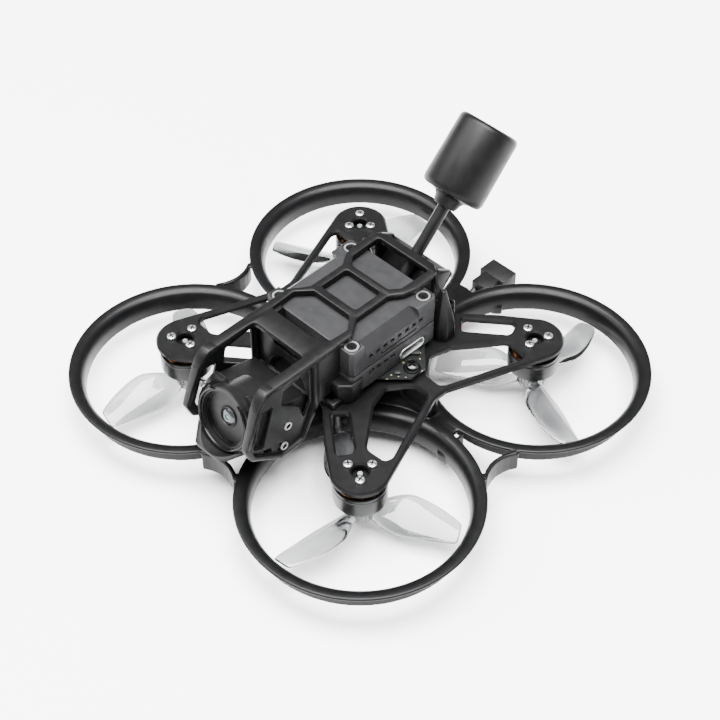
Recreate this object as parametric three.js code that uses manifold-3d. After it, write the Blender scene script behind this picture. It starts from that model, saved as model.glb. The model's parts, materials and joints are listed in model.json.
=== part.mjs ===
// A small ducted racing drone: four hanging motors under a spider deck, a one-piece duct frame,
// a video unit in a bracket with a camera cage, a whip antenna and a short battery lead.
// Millimetres, +Z up, -Y is the front, and the ground under the rails is z = 0.
import * as THREE from "three";
import { mergeVertices } from "three/addons/utils/BufferGeometryUtils.js";
import Module from "manifold-3d";

const wasm = await Module();
wasm.setup();

// ---- Driving dimensions -------------------------------------------------------------------
const WHEELBASE = 90; // motor axis to motor axis, along a diagonal
const MOTOR = WHEELBASE / 2 / Math.SQRT2; // each motor axis is at (+-MOTOR, +-MOTOR)
const GAP = 0.3; // between pieces that touch

const DUCT = { bottom: 5.9, lip: 11.9, throat: 26.7, wall: 28.3, rim: 30.97 };
const WEB = { start: 26.3, end: 35, thick: 1.3 }; // flat web between two neighbouring ducts
const REAR_WEB_END = 41.4;
const BAR = { from: 46.6, to: 47.8, flare: 1.7, reach: 6.6 }; // curved strut outside a web

const DECK = { top: 21.5, thick: 2, side: 28.3, end: 22.8, boss: 7.4, hole: 2.1 };
const DECK_POST = { x: 11, y: 21.3, radius: 1.7, bore: 0.8, top: 27 };
const BODY = { bottom: 8.9, top: 11.9, tip: 26 };
const RAIL = { inner: 7.7, outer: 9.5, length: 27.4 };

const BOARD = { mount: 18.4, corner: 20.8, bottom: 22.9, thick: 0.8 };
const VTX = { half: 15.25, front: -18.05, rear: 11.95, bottom: 24, split: 30.2, top: 38.4 };
const VTX_SCREW = { x: 12.75, front: -15.6, rear: 9.5 };

const FRAME = { bottom: 38.7, top: 40.5 };
const CAGE = { inner: 9.8, web: 10.6, outer: 11.5, rail: 8.6 };
const CAMERA_TILT = THREE.MathUtils.degToRad(14);
const CAMERA_PIVOT = { y: -35.54, z: 23.83 };
const CAMERA_SCREW_DROP = 6.2;

const ANTENNA = { y: 15.9, z: 32.9, angle: Math.PI / 4, stem: 1.6, neck: 20.3, head: 8.5, length: 20.2 };
const MOTOR_SIZE = {
  bell: 6.75, bellWall: 0.6, bellTop: 17.9, bellBottom: 11.2, bellFloor: 12.6, shaft: 0.75,
};
const STATOR = { tube: 2, bottom: 13.2, flange: 5.7, flangeBottom: 18.3 };
const COILS = { count: 9, inner: 4.3, outer: 5.6, bore: 2.3, bottom: 13.4, top: 17.7 };
const PROP = { tip: 25.4, hub: 3.7, hubBottom: 5.5, hubTop: 10.9, plane: 7.2 };
const LEAD_RADIUS = 0.9;

// ---- Materials ----------------------------------------------------------------------------
const finish = (color, roughness, metalness = 0) =>
  new THREE.MeshStandardMaterial({ color, roughness, metalness });
const BLACK_PLASTIC = finish(0x1c1c1d, 0.48);
const DECK_PLASTIC = finish(0x232324, 0.52);
const DARK_ALUMINIUM = finish(0x3a3b3d, 0.5, 0.6);
const CAMERA_PLASTIC = finish(0x202122, 0.4);
const BELL_METAL = finish(0x2b2b2d, 0.32, 0.8);
const STEEL = finish(0xc9cbcd, 0.25, 1);
const COPPER = finish(0xb4602a, 0.35, 0.9);
const CLEAR = new THREE.MeshStandardMaterial({
  color: 0xe6e9ec, roughness: 0.08, transparent: true, opacity: 0.35,
});
const LENS = finish(0x10141a, 0.05);
const RUBBER = finish(0x161616, 0.8);
const CIRCUIT = finish(0x15241c, 0.5);
const RED_SILICONE = finish(0xb01f1a, 0.45);
const BLACK_SILICONE = finish(0x141414, 0.45);

// ---- Shape helpers ------------------------------------------------------------------------
/** A closed geometry as a manifold solid. */
function solid(geometry) {
  const bare = geometry.index ? geometry.toNonIndexed() : geometry.clone();
  bare.deleteAttribute("normal");
  bare.deleteAttribute("uv");
  const merged = mergeVertices(bare, 1e-4);
  const vertProperties = merged.attributes.position.array;
  const triVerts = new Uint32Array(merged.index.array);
  return new wasm.Manifold(new wasm.Mesh({ numProp: 3, vertProperties, triVerts }));
}

/** A manifold solid as a geometry. */
function geometryOf(manifold) {
  const { vertProperties, triVerts } = manifold.getMesh();
  const geometry = new THREE.BufferGeometry();
  geometry.setAttribute("position", new THREE.BufferAttribute(vertProperties, 3));
  geometry.setIndex(new THREE.BufferAttribute(triVerts, 1));
  geometry.computeVertexNormals();
  return geometry;
}

const join = (...pieces) => geometryOf(pieces.map(solid).reduce((a, b) => a.add(b)));
const cut = (base, ...tools) =>
  geometryOf(tools.map(solid).reduce((a, b) => a.subtract(b), solid(base)));

const box = (width, depth, height, x = 0, y = 0, z = 0) =>
  new THREE.BoxGeometry(width, depth, height).translate(x, y, z);

/** A box from its lowest to its highest corner. */
const block = (x0, x1, y0, y1, z0, z1) =>
  box(x1 - x0, y1 - y0, z1 - z0, (x0 + x1) / 2, (y0 + y1) / 2, (z0 + z1) / 2);

/** An upright round rod standing on (x, y, bottom). */
const rod = (radius, bottom, top, x = 0, y = 0, sides = 16, topRadius = radius) =>
  new THREE.CylinderGeometry(topRadius, radius, top - bottom, sides)
    .rotateX(Math.PI / 2)
    .translate(x, y, (bottom + top) / 2);

/** A round rod along X, from x0 to x1. */
const crossRod = (radius, x0, x1, y, z, sides = 16) =>
  new THREE.CylinderGeometry(radius, radius, x1 - x0, sides)
    .rotateZ(Math.PI / 2)
    .translate((x0 + x1) / 2, y, z);

/** An outline of [x, y] points, extruded upright from bottom to top. */
function prism(points, bottom, top) {
  const outline = new THREE.Shape(points.map(([x, y]) => new THREE.Vector2(x, y)));
  const depth = top - bottom;
  return new THREE.ExtrudeGeometry(outline, { depth, bevelEnabled: false }).translate(0, 0, bottom);
}

const TO_YZ = new THREE.Matrix4().set(0, 0, 1, 0, 1, 0, 0, 0, 0, 1, 0, 0, 0, 0, 0, 1);
/** An outline of [y, z] points, extruded along X. */
const sidePrism = (points, x0, x1) => prism(points, x0, x1).applyMatrix4(TO_YZ);

const TO_XZ = new THREE.Matrix4().set(1, 0, 0, 0, 0, 0, -1, 0, 0, 1, 0, 0, 0, 0, 0, 1);
/** An outline of [x, z] points, extruded along Y. */
const frontPrism = (points, y0, y1) => prism(points, -y1, -y0).applyMatrix4(TO_XZ);

/** A profile of [radius, z] points turned about the Z axis. */
const turned = (profile, sides = 24) =>
  new THREE.LatheGeometry(profile.map(([r, z]) => new THREE.Vector2(r, z)), sides)
    .rotateX(Math.PI / 2);

/** Points on an arc, from one angle to another, both ends included. */
function arc(x, y, radius, from, to, steps) {
  return Array.from({ length: steps + 1 }, (_, i) => {
    const angle = THREE.MathUtils.degToRad(from + ((to - from) * i) / steps);
    return [x + radius * Math.cos(angle), y + radius * Math.sin(angle)];
  });
}

/** The half outline on +X and its mirror image on -X, as one closed outline. */
const mirrored = (half) => [...half, ...half.map(([x, y]) => [-x, y]).reverse()];

/** A geometry reflected across the plane whose normal is given. */
const reflected = (geometry, normal) => geometryOf(solid(geometry).mirror(normal));

/** A geometry on the +X side and its mirror image on the -X side. */
const bothSides = (geometry) => [geometry, reflected(geometry, [1, 0, 0])];

const group = new THREE.Group();
const CORNERS = [
  { name: "front_left", x: 1, y: -1, phase: -89.5, turn: 1 },
  { name: "front_right", x: -1, y: -1, phase: -101, turn: -1 },
  { name: "rear_left", x: 1, y: 1, phase: -30, turn: -1 },
  { name: "rear_right", x: -1, y: 1, phase: -26, turn: 1 },
];

/** Names a geometry as one piece of the drone. */
function add(name, geometry, material, parent = group) {
  const mesh = new THREE.Mesh(geometry, material);
  mesh.name = name;
  parent.add(mesh);
  return mesh;
}

// ---- Duct frame ---------------------------------------------------------------------------
/** One duct ring about its own axis: a bell-mouthed wall with a rolled lip. */
function ductRing() {
  const { bottom, lip, throat, wall, rim } = DUCT;
  return turned([
    [throat, bottom], [wall, bottom], [wall, lip - 2.4], [rim - 1.6, lip - 1.1], [rim, lip - 0.9],
    [rim, lip - 0.1], [rim - 1.2, lip], [wall, lip - 0.4], [throat + 0.5, lip - 1.7],
    [throat, lip - 3.6], [throat, bottom],
  ], 48);
}

/** Half of the flat web on the +X side of the duct at (MOTOR, MOTOR), as far out as x = end. */
const halfWeb = (end) => cut(
  block(WEB.start, end, GAP / 2, 8, DUCT.lip - WEB.thick, DUCT.lip - 0.2),
  rod(DUCT.wall + 1, 0, 20, MOTOR, MOTOR, 48),
);

/** Half of the curved strut that ties two ducts together outside their web. */
const halfBar = () => prism([
  [BAR.from, GAP / 2], [BAR.to, GAP / 2], [BAR.to + 0.5, BAR.reach / 2],
  [BAR.to + BAR.flare, BAR.reach], [BAR.from + BAR.flare, BAR.reach + 0.4],
  [BAR.from + 0.4, BAR.reach / 2],
], DUCT.bottom, DUCT.lip - 0.2);

/** A piece made for the side of a duct, moved to the duct's end. */
const turnedToEnd = (geometry) => reflected(geometry, [1, -1, 0]);

function duct(corner) {
  const pieces = [ductRing().translate(MOTOR, MOTOR, 0), halfWeb(WEB.end), halfBar()];
  if (corner.y < 0) pieces.push(turnedToEnd(halfWeb(WEB.end)), turnedToEnd(halfBar()));
  else pieces.push(turnedToEnd(halfWeb(REAR_WEB_END)));
  const mesh = add(`duct_${corner.name}`, join(...pieces), BLACK_PLASTIC);
  mesh.scale.set(corner.x, corner.y, 1);
}
CORNERS.forEach(duct);

/** The middle of the frame: a four-pointed plate, two battery rails, and posts up to the deck. */
function lowerBody() {
  const reach = DUCT.rim + GAP;
  const sweep = THREE.MathUtils.radToDeg(Math.acos((MOTOR - BODY.tip) / reach));
  const star = CORNERS.flatMap((_, i) => {
    const angle = (i * Math.PI) / 2;
    return arc(MOTOR, MOTOR, reach, 180 + sweep, 270 - sweep, 8).map(([x, y]) => [
      x * Math.cos(angle) - y * Math.sin(angle), x * Math.sin(angle) + y * Math.cos(angle),
    ]);
  });
  const plate = prism(star, BODY.bottom, BODY.top);
  const rails = bothSides(cut(
    block(RAIL.inner, RAIL.outer, -RAIL.length / 2, RAIL.length / 2, 0, BODY.bottom + 0.5),
    block(0, 20, -5, 5, 5.2, 7),
  ));
  const ceiling = block(-RAIL.outer, RAIL.outer, -RAIL.length / 2 + 3, RAIL.length / 2 - 3, 8.7, 10);
  const deckBottom = DECK.top - DECK.thick - GAP;
  const post = (x, y) => rod(2, BODY.top - 0.5, deckBottom, x, y, 12);
  const posts = [post(6.5, 6.5), post(-6.5, 6.5), post(6.5, -6.5), post(-6.5, -6.5)];
  const gusset = frontPrism([[16, BODY.top - 0.5], [BODY.tip, BODY.top - 0.5],
    [27.4, deckBottom], [20, deckBottom]], -0.9, 0.9);
  const endGusset = sidePrism([[14, BODY.top - 0.5], [BODY.tip - 1, BODY.top - 0.5],
    [21.6, deckBottom], [16, deckBottom]], -0.9, 0.9);
  const gussets = [...bothSides(gusset), endGusset, endGusset.clone().rotateZ(Math.PI)];
  return join(plate, ...rails, ceiling, ...posts, ...gussets);
}
add("lower_body", lowerBody(), BLACK_PLASTIC);
add("battery_pad", block(-6.8, 6.8, -12.5, 12.5, 7.3, 8.4), RUBBER);

// ---- Motor deck ---------------------------------------------------------------------------
/** The spider plate: a centre plate, four open arms that each end in a motor boss, and two rear posts. */
function motorDeck() {
  const { top, thick, side, end, boss, hole } = DECK;
  const bottom = top - thick;
  const quarter = [
    [side, 0], [side, 2.2], ...arc(MOTOR, MOTOR, boss, -18, 117, 9), [19.1, 31.5], [9.5, end], [0, end],
  ];
  const half = [...quarter.map(([x, y]) => [x, -y]).reverse(), ...quarter.slice(1)];
  const plate = prism(mirrored(half.slice(1, -1)), bottom, top);
  const sideWindow = [[17.1, 8], [20.2, 3.6], [21.4, 2.5], [25.7, 2.2], [26.9, 3.7],
    [34.3, 23.2], [33.8, 25.4], [28.6, 25.7], [27.3, 25], [18.8, 14]];
  const endWindow = [[13.5, 23.8], [23.8, 32], [25.3, 31.7], [26.3, 29], [25.9, 27.8], [16.6, 20.4]];
  const openings = CORNERS.flatMap(({ x, y }) => {
    const tool = (points) => {
      const placed = points.map(([px, py]) => [px * x, py * y]);
      return prism(x * y > 0 ? placed : placed.reverse(), bottom - 1, top + 1);
    };
    const bore = rod(hole, bottom - 1, top + 1, MOTOR * x, MOTOR * y, 16);
    return [tool(sideWindow), tool(endWindow), bore];
  });
  const post = (side) => cut(
    rod(DECK_POST.radius, top - 0.5, DECK_POST.top, DECK_POST.x * side, DECK_POST.y),
    rod(DECK_POST.bore, top + 1, DECK_POST.top + 1, DECK_POST.x * side, DECK_POST.y, 8),
  );
  return join(cut(plate, ...openings), post(1), post(-1));
}
add("motor_deck", motorDeck(), DECK_PLASTIC);

// ---- Motors and propellers ----------------------------------------------------------------
/** One blade along +X: twisted lens-shaped sections, widest at mid span. */
function blade(turn) {
  const stations = [
    [2.6, 4.4, 32, 1.3, 0], [6, 7.2, 30, 1.1, 0.3], [10.5, 10.8, 25, 0.9, 0.7], [14, 10.9, 21, 0.85, 0.6],
    [18.5, 9.4, 17, 0.8, 0], [22.5, 7.4, 14, 0.7, -1], [PROP.tip, 5, 12, 0.5, -2],
  ];
  const section = [[-0.5, 0], [-0.2, -0.5], [0.25, -0.45], [0.5, 0], [0.25, 0.45], [-0.2, 0.5]];
  const corners = stations.flatMap(([radius, chord, pitch, thick, sweep]) => {
    const angle = THREE.MathUtils.degToRad(pitch) * turn;
    return section.map(([along, across]) => {
      const u = along * chord;
      const v = across * thick;
      const y = u * Math.cos(angle) - v * Math.sin(angle) + sweep * turn;
      return [radius, y, u * Math.sin(angle) + v * Math.cos(angle)];
    });
  });
  const n = section.length;
  const faces = [];
  for (let s = 0; s < stations.length - 1; s += 1) {
    for (let i = 0; i < n; i += 1) {
      const a = s * n + i;
      const b = s * n + ((i + 1) % n);
      faces.push(a, b, a + n, b, b + n, a + n);
    }
  }
  const last = (stations.length - 1) * n;
  for (let i = 1; i < n - 1; i += 1) faces.push(0, i + 1, i, last, last + i, last + i + 1);
  const geometry = new THREE.BufferGeometry();
  geometry.setAttribute("position", new THREE.Float32BufferAttribute(corners.flat(), 3));
  geometry.setIndex(faces);
  return geometry;
}

function propeller(turn, phase) {
  const { hub, hubBottom, hubTop, plane } = PROP;
  const blades = [0, 120, 240].map((step) =>
    blade(turn).translate(0, 0, plane).rotateZ(THREE.MathUtils.degToRad(phase + step)));
  const bore = rod(MOTOR_SIZE.shaft + GAP, 0, 20);
  return cut(join(rod(hub, hubBottom, hubTop, 0, 0, 18), ...blades), bore);
}

function motor(corner) {
  const { bell, bellWall, bellTop, bellBottom, bellFloor, shaft } = MOTOR_SIZE;
  const place = new THREE.Group();
  place.position.set(MOTOR * corner.x, MOTOR * corner.y, 0);
  group.add(place);
  const deckBottom = DECK.top - DECK.thick - GAP;
  const bore = shaft + GAP;
  add(`motor_base_${corner.name}`, turned([
    [bore, STATOR.bottom], [STATOR.tube, STATOR.bottom], [STATOR.tube, STATOR.flangeBottom - 0.3],
    [STATOR.flange, STATOR.flangeBottom], [STATOR.flange, deckBottom], [bore, deckBottom],
    [bore, STATOR.bottom],
  ]), BELL_METAL, place);
  const teeth = Array.from({ length: COILS.count * 4 }, (_, i) => {
    const radius = i % 4 < 2 ? COILS.outer : COILS.inner;
    const angle = (i / (COILS.count * 4)) * 2 * Math.PI;
    return [radius * Math.cos(angle), radius * Math.sin(angle)];
  });
  const core = cut(prism(teeth, COILS.bottom, COILS.top), rod(COILS.bore, 10, 20));
  add(`windings_${corner.name}`, core, COPPER, place);
  const inner = bell - bellWall;
  add(`motor_bell_${corner.name}`, turned([
    [bore, bellBottom], [5.4, bellBottom], [bell, bellBottom + 1.1], [bell, bellTop],
    [inner, bellTop], [inner, bellFloor], [bore, bellFloor], [bore, bellBottom],
  ]), BELL_METAL, place);
  add(`motor_shaft_${corner.name}`, rod(shaft, PROP.hubBottom + 0.3, DECK.top - 1, 0, 0, 12), STEEL, place);
  add(`propeller_${corner.name}`, propeller(corner.turn, corner.phase), CLEAR, place);
}
CORNERS.forEach(motor);

// ---- Flight controller --------------------------------------------------------------------
const BOARD_MOUNTS = [
  { name: "left", x: BOARD.mount, y: 0 }, { name: "right", x: -BOARD.mount, y: 0 },
  { name: "front", x: 0, y: -BOARD.mount }, { name: "rear", x: 0, y: BOARD.mount },
];
const boardTop = BOARD.bottom + BOARD.thick;
add("flight_controller", cut(
  prism([0, 90, 180, 270].flatMap((turn) => {
    const angle = THREE.MathUtils.degToRad(turn);
    return [[BOARD.corner, -2.4], [BOARD.corner, 2.4]].map(([x, y]) => [
      x * Math.cos(angle) - y * Math.sin(angle), x * Math.sin(angle) + y * Math.cos(angle),
    ]);
  }), BOARD.bottom, boardTop),
  ...BOARD_MOUNTS.map(({ x, y }) => rod(2.2, 20, 26, x, y)),
), CIRCUIT);
BOARD_MOUNTS.forEach(({ name, x, y }) => {
  add(`board_damper_${name}`, rod(1.9, DECK.top + GAP, boardTop + 0.2, x, y), RUBBER);
  add(`board_screw_${name}`, rod(1.6, boardTop + 0.5, boardTop + 1.5, x, y, 12, 1.3), STEEL);
});

// ---- Video unit ---------------------------------------------------------------------------
/** The plan of the video unit, with its four upright corners cut off. */
function vtxPlan(inset = 0) {
  const x = VTX.half - inset;
  const front = VTX.front + inset;
  const rear = VTX.rear - inset;
  const clip = 0.8;
  return mirrored([[x - clip, front], [x, front + clip], [x, rear - clip], [x - clip, rear]]);
}

/** A row of small square vents through both side faces. */
const vents = (count, firstY, z) => Array.from({ length: count }, (_, i) => [
  box(1.6, 1.35, 1.1, VTX.half, firstY + i * 2.53, z),
  box(1.6, 1.35, 1.1, -VTX.half, firstY + i * 2.53, z),
]).flat();

const USB = { y: 3.3, z: 26.1, length: 9, height: 3.2 };
const BUTTON = { y: -11.2, z: 28.3, radius: 0.75 };
const usbSlot = (grow, x0, x1) => {
  const r = USB.height / 2 + grow;
  const run = USB.length / 2 - USB.height / 2;
  return sidePrism([
    ...arc(USB.y + run, USB.z, r, -90, 90, 6), ...arc(USB.y - run, USB.z, r, 90, 270, 6),
  ], x0, x1);
};

add("vtx_housing", cut(
  prism(vtxPlan(), VTX.bottom, VTX.split),
  prism(vtxPlan(2), VTX.split - 2.6, VTX.split + 1),
  usbSlot(GAP, 11.5, 20),
  crossRod(BUTTON.radius + GAP, 13.6, 20, BUTTON.y, BUTTON.z),
  ...vents(3, -8.7, 28.3),
  rod(2.1, VTX.bottom - 1, boardTop + 2, 0, -BOARD.mount),
), DARK_ALUMINIUM);
add("vtx_board", prism(vtxPlan(2.6), VTX.split - 2.2, VTX.split - 0.9), CIRCUIT);
add("usb_port", cut(usbSlot(0, 12, VTX.half + 0.05), usbSlot(-0.45, 12.6, 20)), STEEL);
add("link_button", crossRod(BUTTON.radius, 14, VTX.half - 0.1, BUTTON.y, BUTTON.z, 12), RUBBER);

const coverChamfer = sidePrism([[-13.6, 0], [6.2, 0], [4.6, 3.4], [-13.6 + 1.6, 3.4]], -1.6, 1.6)
  .rotateY(Math.PI / 4)
  .translate(VTX.half - 0.9, 0, VTX.top - 3.5);
const vtxScrews = [
  { name: "front_left", x: VTX_SCREW.x, y: VTX_SCREW.front },
  { name: "front_right", x: -VTX_SCREW.x, y: VTX_SCREW.front },
  { name: "rear_left", x: VTX_SCREW.x, y: VTX_SCREW.rear },
  { name: "rear_right", x: -VTX_SCREW.x, y: VTX_SCREW.rear },
];
add("vtx_cover", cut(
  prism(vtxPlan(), VTX.split + GAP, VTX.top),
  ...bothSides(coverChamfer),
  ...vents(8, -11.5, VTX.split + 3.7),
  block(VTX.half - 0.6, 20, -8, 4.6, VTX.split + 1.6, VTX.split + 2.1),
  ...vtxScrews.map(({ x, y }) => rod(2.3, VTX.top - 1.3, VTX.top + 2, x, y)),
), DARK_ALUMINIUM);
vtxScrews.forEach(({ name, x, y }) =>
  add(`vtx_screw_${name}`, rod(1.95, VTX.top - 1, VTX.top - 0.05, x, y), STEEL));

// ---- Bracket: top frame, camera cage, legs and antenna holder -----------------------------
function topFrame() {
  const outline = mirrored([[CAGE.outer, -27.7], [CAGE.outer, -14.2], [8.1, -9.3], [8.1, 1.8],
    [10.4, 5.2], [11.1, 8.5], [10.9, 16.3], [8.4, 18.2]]);
  const windows = [
    mirrored([[9.1, -21.5], [9.5, -13.6], [6.2, -9.9]]),
    mirrored([[6, -7.6], [6, 1.35]]),
    mirrored([[6.4, 3.4], [8.5, 6], [8.8, 15.6]]),
  ];
  return cut(
    prism(outline, FRAME.bottom, FRAME.top),
    ...windows.map((points) => prism(points, FRAME.bottom - 1, FRAME.top + 1)),
  );
}

/** One cage side on +X: a rimmed six-sided plate with two windows and the camera's screw slots. */
function cageSide() {
  const rim = [[-25.5, FRAME.top], [-42, FRAME.top], [-45.8, 36.5], [-49.9, 25.5], [-48.2, 21.2],
    [-38.5, 14.7], [-30.9, 15.4], [-25.5, 24.4]];
  const recess = [[-27, 38.9], [-41.4, 38.9], [-44.5, 35.8], [-48.2, 25.4], [-46.8, 22.2],
    [-38.2, 16.2], [-31.8, 16.8], [-27, 25]];
  const frontWindow = [[-43.7, 34], [-39.4, 33.6], [-43.4, 21.6], [-46.5, 23.3], [-47, 25.4]];
  const rearWindow = [
    [-36.2, 36.2], [-27.8, 37.2], [-27.8, 26.2], [-30.2, 22.1], [-31.2, 27.2], [-37.2, 32],
  ];
  const { y, z } = CAMERA_PIVOT;
  const down = -90 - THREE.MathUtils.radToDeg(CAMERA_TILT);
  const slot = [
    ...arc(y, z, CAMERA_SCREW_DROP + 1.05, down - 18, down + 18, 4),
    ...arc(y, z, CAMERA_SCREW_DROP - 1.05, down + 18, down - 18, 4),
  ];
  return cut(
    sidePrism(rim, CAGE.inner, CAGE.outer),
    sidePrism(recess, CAGE.web, CAGE.outer + 1),
    sidePrism(frontWindow, 0, 20),
    sidePrism(rearWindow, 0, 20),
    sidePrism(slot, 0, 20),
    crossRod(1.05, 0, 20, y, z),
  );
}

/** A cup under a front corner of the video unit: an eight-sided taper. */
const cup = (x, y) => rod(3.7, 22.2, 29, x, y, 8, 5.3);

function bracket() {
  const rail = block(CAGE.rail, CAGE.outer, -42, -26, FRAME.bottom, FRAME.top);
  const wall = cut(
    block(-CAGE.outer, CAGE.outer, -25.6, -23.8, 25, FRAME.bottom + 0.5),
    frontPrism([...arc(0, 25, 6.5, 0, 180, 10), [-6.5, 22], [6.5, 22]], -30, -20),
    block(-4, 4, -30, -20, 34.4, 36.8),
  );
  const cornerWeb = block(8, CAGE.outer, -25.6, VTX.front - GAP, 25, FRAME.bottom + 0.5);
  const toe = block(8.5, 13.5, -22.5, -16, 22.2, 26);
  const rearColumn = rod(3.4, 22.2, 33, 13.3, 15.7, 8);
  const rearSlope = frontPrism([[8.8, FRAME.top], [10.8, FRAME.top], [16.2, 33.4], [15.6, 31],
    [11, 31], [9.2, 37]], 13, 18);
  const holderSide = sidePrism([[15.7, FRAME.top - 0.3], [18.2, FRAME.top - 0.3], [22.6, 37.4],
    [22.6, 35.6], [17.4, 30.4], [15.7, 30.4]].reverse(), 9.4, 10.7);
  const flange = sidePrism([[16.6, 30.9], [22.6, 36.9], [23.3, 36.2], [17.3, 30.2]].reverse(),
    -10.7, 10.7);
  const vtxRoom = block(-VTX.half - GAP, VTX.half + GAP, VTX.front - GAP, VTX.rear + GAP,
    VTX.bottom - GAP, FRAME.bottom - 0.01);
  const legs = [cup(VTX_SCREW.x, VTX_SCREW.front), toe, rearColumn]
    .map((leg) => cut(leg, boardRoom()));
  const sides = [rail, cageSide(), cornerWeb, ...legs, rearSlope, holderSide].flatMap(bothSides);
  return cut(join(topFrame(), wall, flange, ...sides), vtxRoom);
}

/** The space of the flight controller's board, which the bracket's feet stay out of. */
function boardRoom() {
  const reach = BOARD.corner + 2.4 + 0.6;
  return prism([[reach, 0], [0, reach], [-reach, 0], [0, -reach]], BOARD.bottom - 0.4, boardTop + 0.3);
}
add("bracket", bracket(), BLACK_PLASTIC);

// ---- Camera -------------------------------------------------------------------------------
const camera = new THREE.Group();
camera.position.set(0, CAMERA_PIVOT.y, CAMERA_PIVOT.z);
camera.rotation.x = -CAMERA_TILT;
group.add(camera);

const LENS_FRONT = -11.86; // the lens ring's front face, ahead of the tilt axis
/** The camera's front outline, as [x, z] points, seen from ahead. */
const CAMERA_FACE = mirrored([[4.2, -9.7], [9.3, -4.8], [9.3, 5.2], [7.6, 8.3], [4, 8.3], [3, 7]]);

function cameraBody() {
  const rear = block(-9.2, 9.2, -3, 6.4, -6.6, 6.1);
  const hump = new THREE.CylinderGeometry(7.9, 7.9, 8, 20).translate(0, -4.8, 0);
  const face = frontPrism(CAMERA_FACE, -9.2, -4.6);
  const chin = cut(
    frontPrism(CAMERA_FACE, LENS_FRONT - 2.8, -9),
    new THREE.CylinderGeometry(9.2, 9.2, 20, 24).translate(0, -19.3, 0),
    sidePrism([[LENS_FRONT - 2.8, -9.1], [LENS_FRONT, -4.8], [-9.21, -4.8], [-9.21, 20], [-20, 20],
      [-20, -9.1]].reverse(), -20, 20),
  );
  const tapped = [0, -CAMERA_SCREW_DROP].flatMap((z) => [
    crossRod(0.9, 8, 12, 0, z, 8), crossRod(0.9, -12, -8, 0, z, 8),
  ]);
  return cut(join(rear, hump, face, chin), ...tapped,
    new THREE.CylinderGeometry(6, 6, 5, 20).translate(0, -8.7, 0));
}
add("camera_body", cameraBody(), CAMERA_PLASTIC, camera);
add("lens_ring", cut(
  turned([[7.2, 0], [8.4, 0], [8.9, 0.5], [8.9, 2.3], [7.2, 2.3], [7.2, 0]], 32)
    .rotateX(-Math.PI / 2).translate(0, LENS_FRONT, 0),
  block(-10, 10, -20, 0, 6.5, 12),
), CAMERA_PLASTIC, camera);
add("lens_glass", turned([[0, 0.3], [3, 0.6], [5.6, 1.5], [5.6, 5], [0, 5]], 24)
  .rotateX(-Math.PI / 2).translate(0, LENS_FRONT + 0.6, 0), LENS, camera);
[["upper", 0], ["lower", -CAMERA_SCREW_DROP]].forEach(([level, z]) => {
  [["left", 1], ["right", -1]].forEach(([side, sign]) => {
    const head = crossRod(1.25, CAGE.web + 0.2, CAGE.web + 0.9, 0, z, 12);
    const shank = crossRod(0.6, 8.6, CAGE.web + 0.5, 0, z, 8);
    const screw = join(head, shank);
    add(`camera_screw_${level}_${side}`, sign > 0 ? screw : screw.rotateZ(Math.PI), STEEL, camera);
  });
});

// ---- Antenna ------------------------------------------------------------------------------
const antenna = new THREE.Group();
antenna.position.set(0, ANTENNA.y, ANTENNA.z);
antenna.rotation.x = ANTENNA.angle - Math.PI / 2;
group.add(antenna);
add("antenna_stem", rod(ANTENNA.stem, 0, ANTENNA.neck), RUBBER, antenna);
add("antenna_head", turned([
  [0, ANTENNA.neck + GAP], [2.1, ANTENNA.neck + GAP], [3.4, ANTENNA.neck + 2.6],
  [ANTENNA.head - 1, ANTENNA.neck + 3.2], [ANTENNA.head, ANTENNA.neck + 4.4],
  [ANTENNA.head - 0.3, ANTENNA.neck + 2.2 + ANTENNA.length],
  [ANTENNA.head - 1.6, ANTENNA.neck + 3.2 + ANTENNA.length], [0, ANTENNA.neck + 3.2 + ANTENNA.length],
], 32), RUBBER, antenna);

// ---- Battery lead -------------------------------------------------------------------------
const PLUG = { x: -2.9, front: 50, step: 55.2, rear: 60.9 };
add("lead_grommet", cut(
  block(-3.6, 3.6, 14, 17, 5.7, 8.4),
  ...[1.3, -1.3].map((x) => crossRod(LEAD_RADIUS + GAP, -3, 3, 0, 0, 12).rotateZ(Math.PI / 2)
    .translate(x, 18, 7)),
), RUBBER);
add("battery_plug", join(
  block(PLUG.x - 4.3, PLUG.x + 4.3, PLUG.step, PLUG.rear, 0.1, 5.3),
  block(PLUG.x - 2.7, PLUG.x + 2.7, PLUG.front, PLUG.step + 0.5, 0.6, 4.8),
), BLACK_PLASTIC);

/** Each lead's route, from the grommet to the plug. */
const ROUTES = {
  red: [
    [1.3, 15.4, 7], [1.3, 17.4, 7], [1.4, 19.4, 6.9], [1.7, 21.4, 6.3], [2.1, 23.4, 5.2], [2.5, 25.4, 3.9],
    [2.8, 27.6, 2.7], [2.9, 29.8, 1.7], [2.7, 32.2, 1.1], [2.2, 34.6, 0.95], [1.3, 37, 0.95],
    [0.3, 39.4, 0.95], [-0.5, 41.8, 0.95], [-1.1, 44.2, 1.1], [-1.5, 46.6, 1.6], [-1.6, 49.6, 2.6],
  ],
  black: [
    [-1.3, 15.4, 7], [-1.3, 17.4, 7], [-1.3, 19.4, 6.9], [-1.1, 21.4, 6.3], [-0.7, 23.4, 5.2],
    [-0.3, 25.4, 3.9], [0.1, 27.6, 2.7], [0.2, 29.8, 1.7], [0, 32.2, 1.1], [-0.5, 34.6, 0.95],
    [-1.4, 37, 0.95], [-2.4, 39.4, 0.95], [-3.2, 41.8, 0.95], [-3.8, 44.2, 1.1], [-4.1, 46.6, 1.6],
    [-4.2, 49.6, 2.6],
  ],
};

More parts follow.
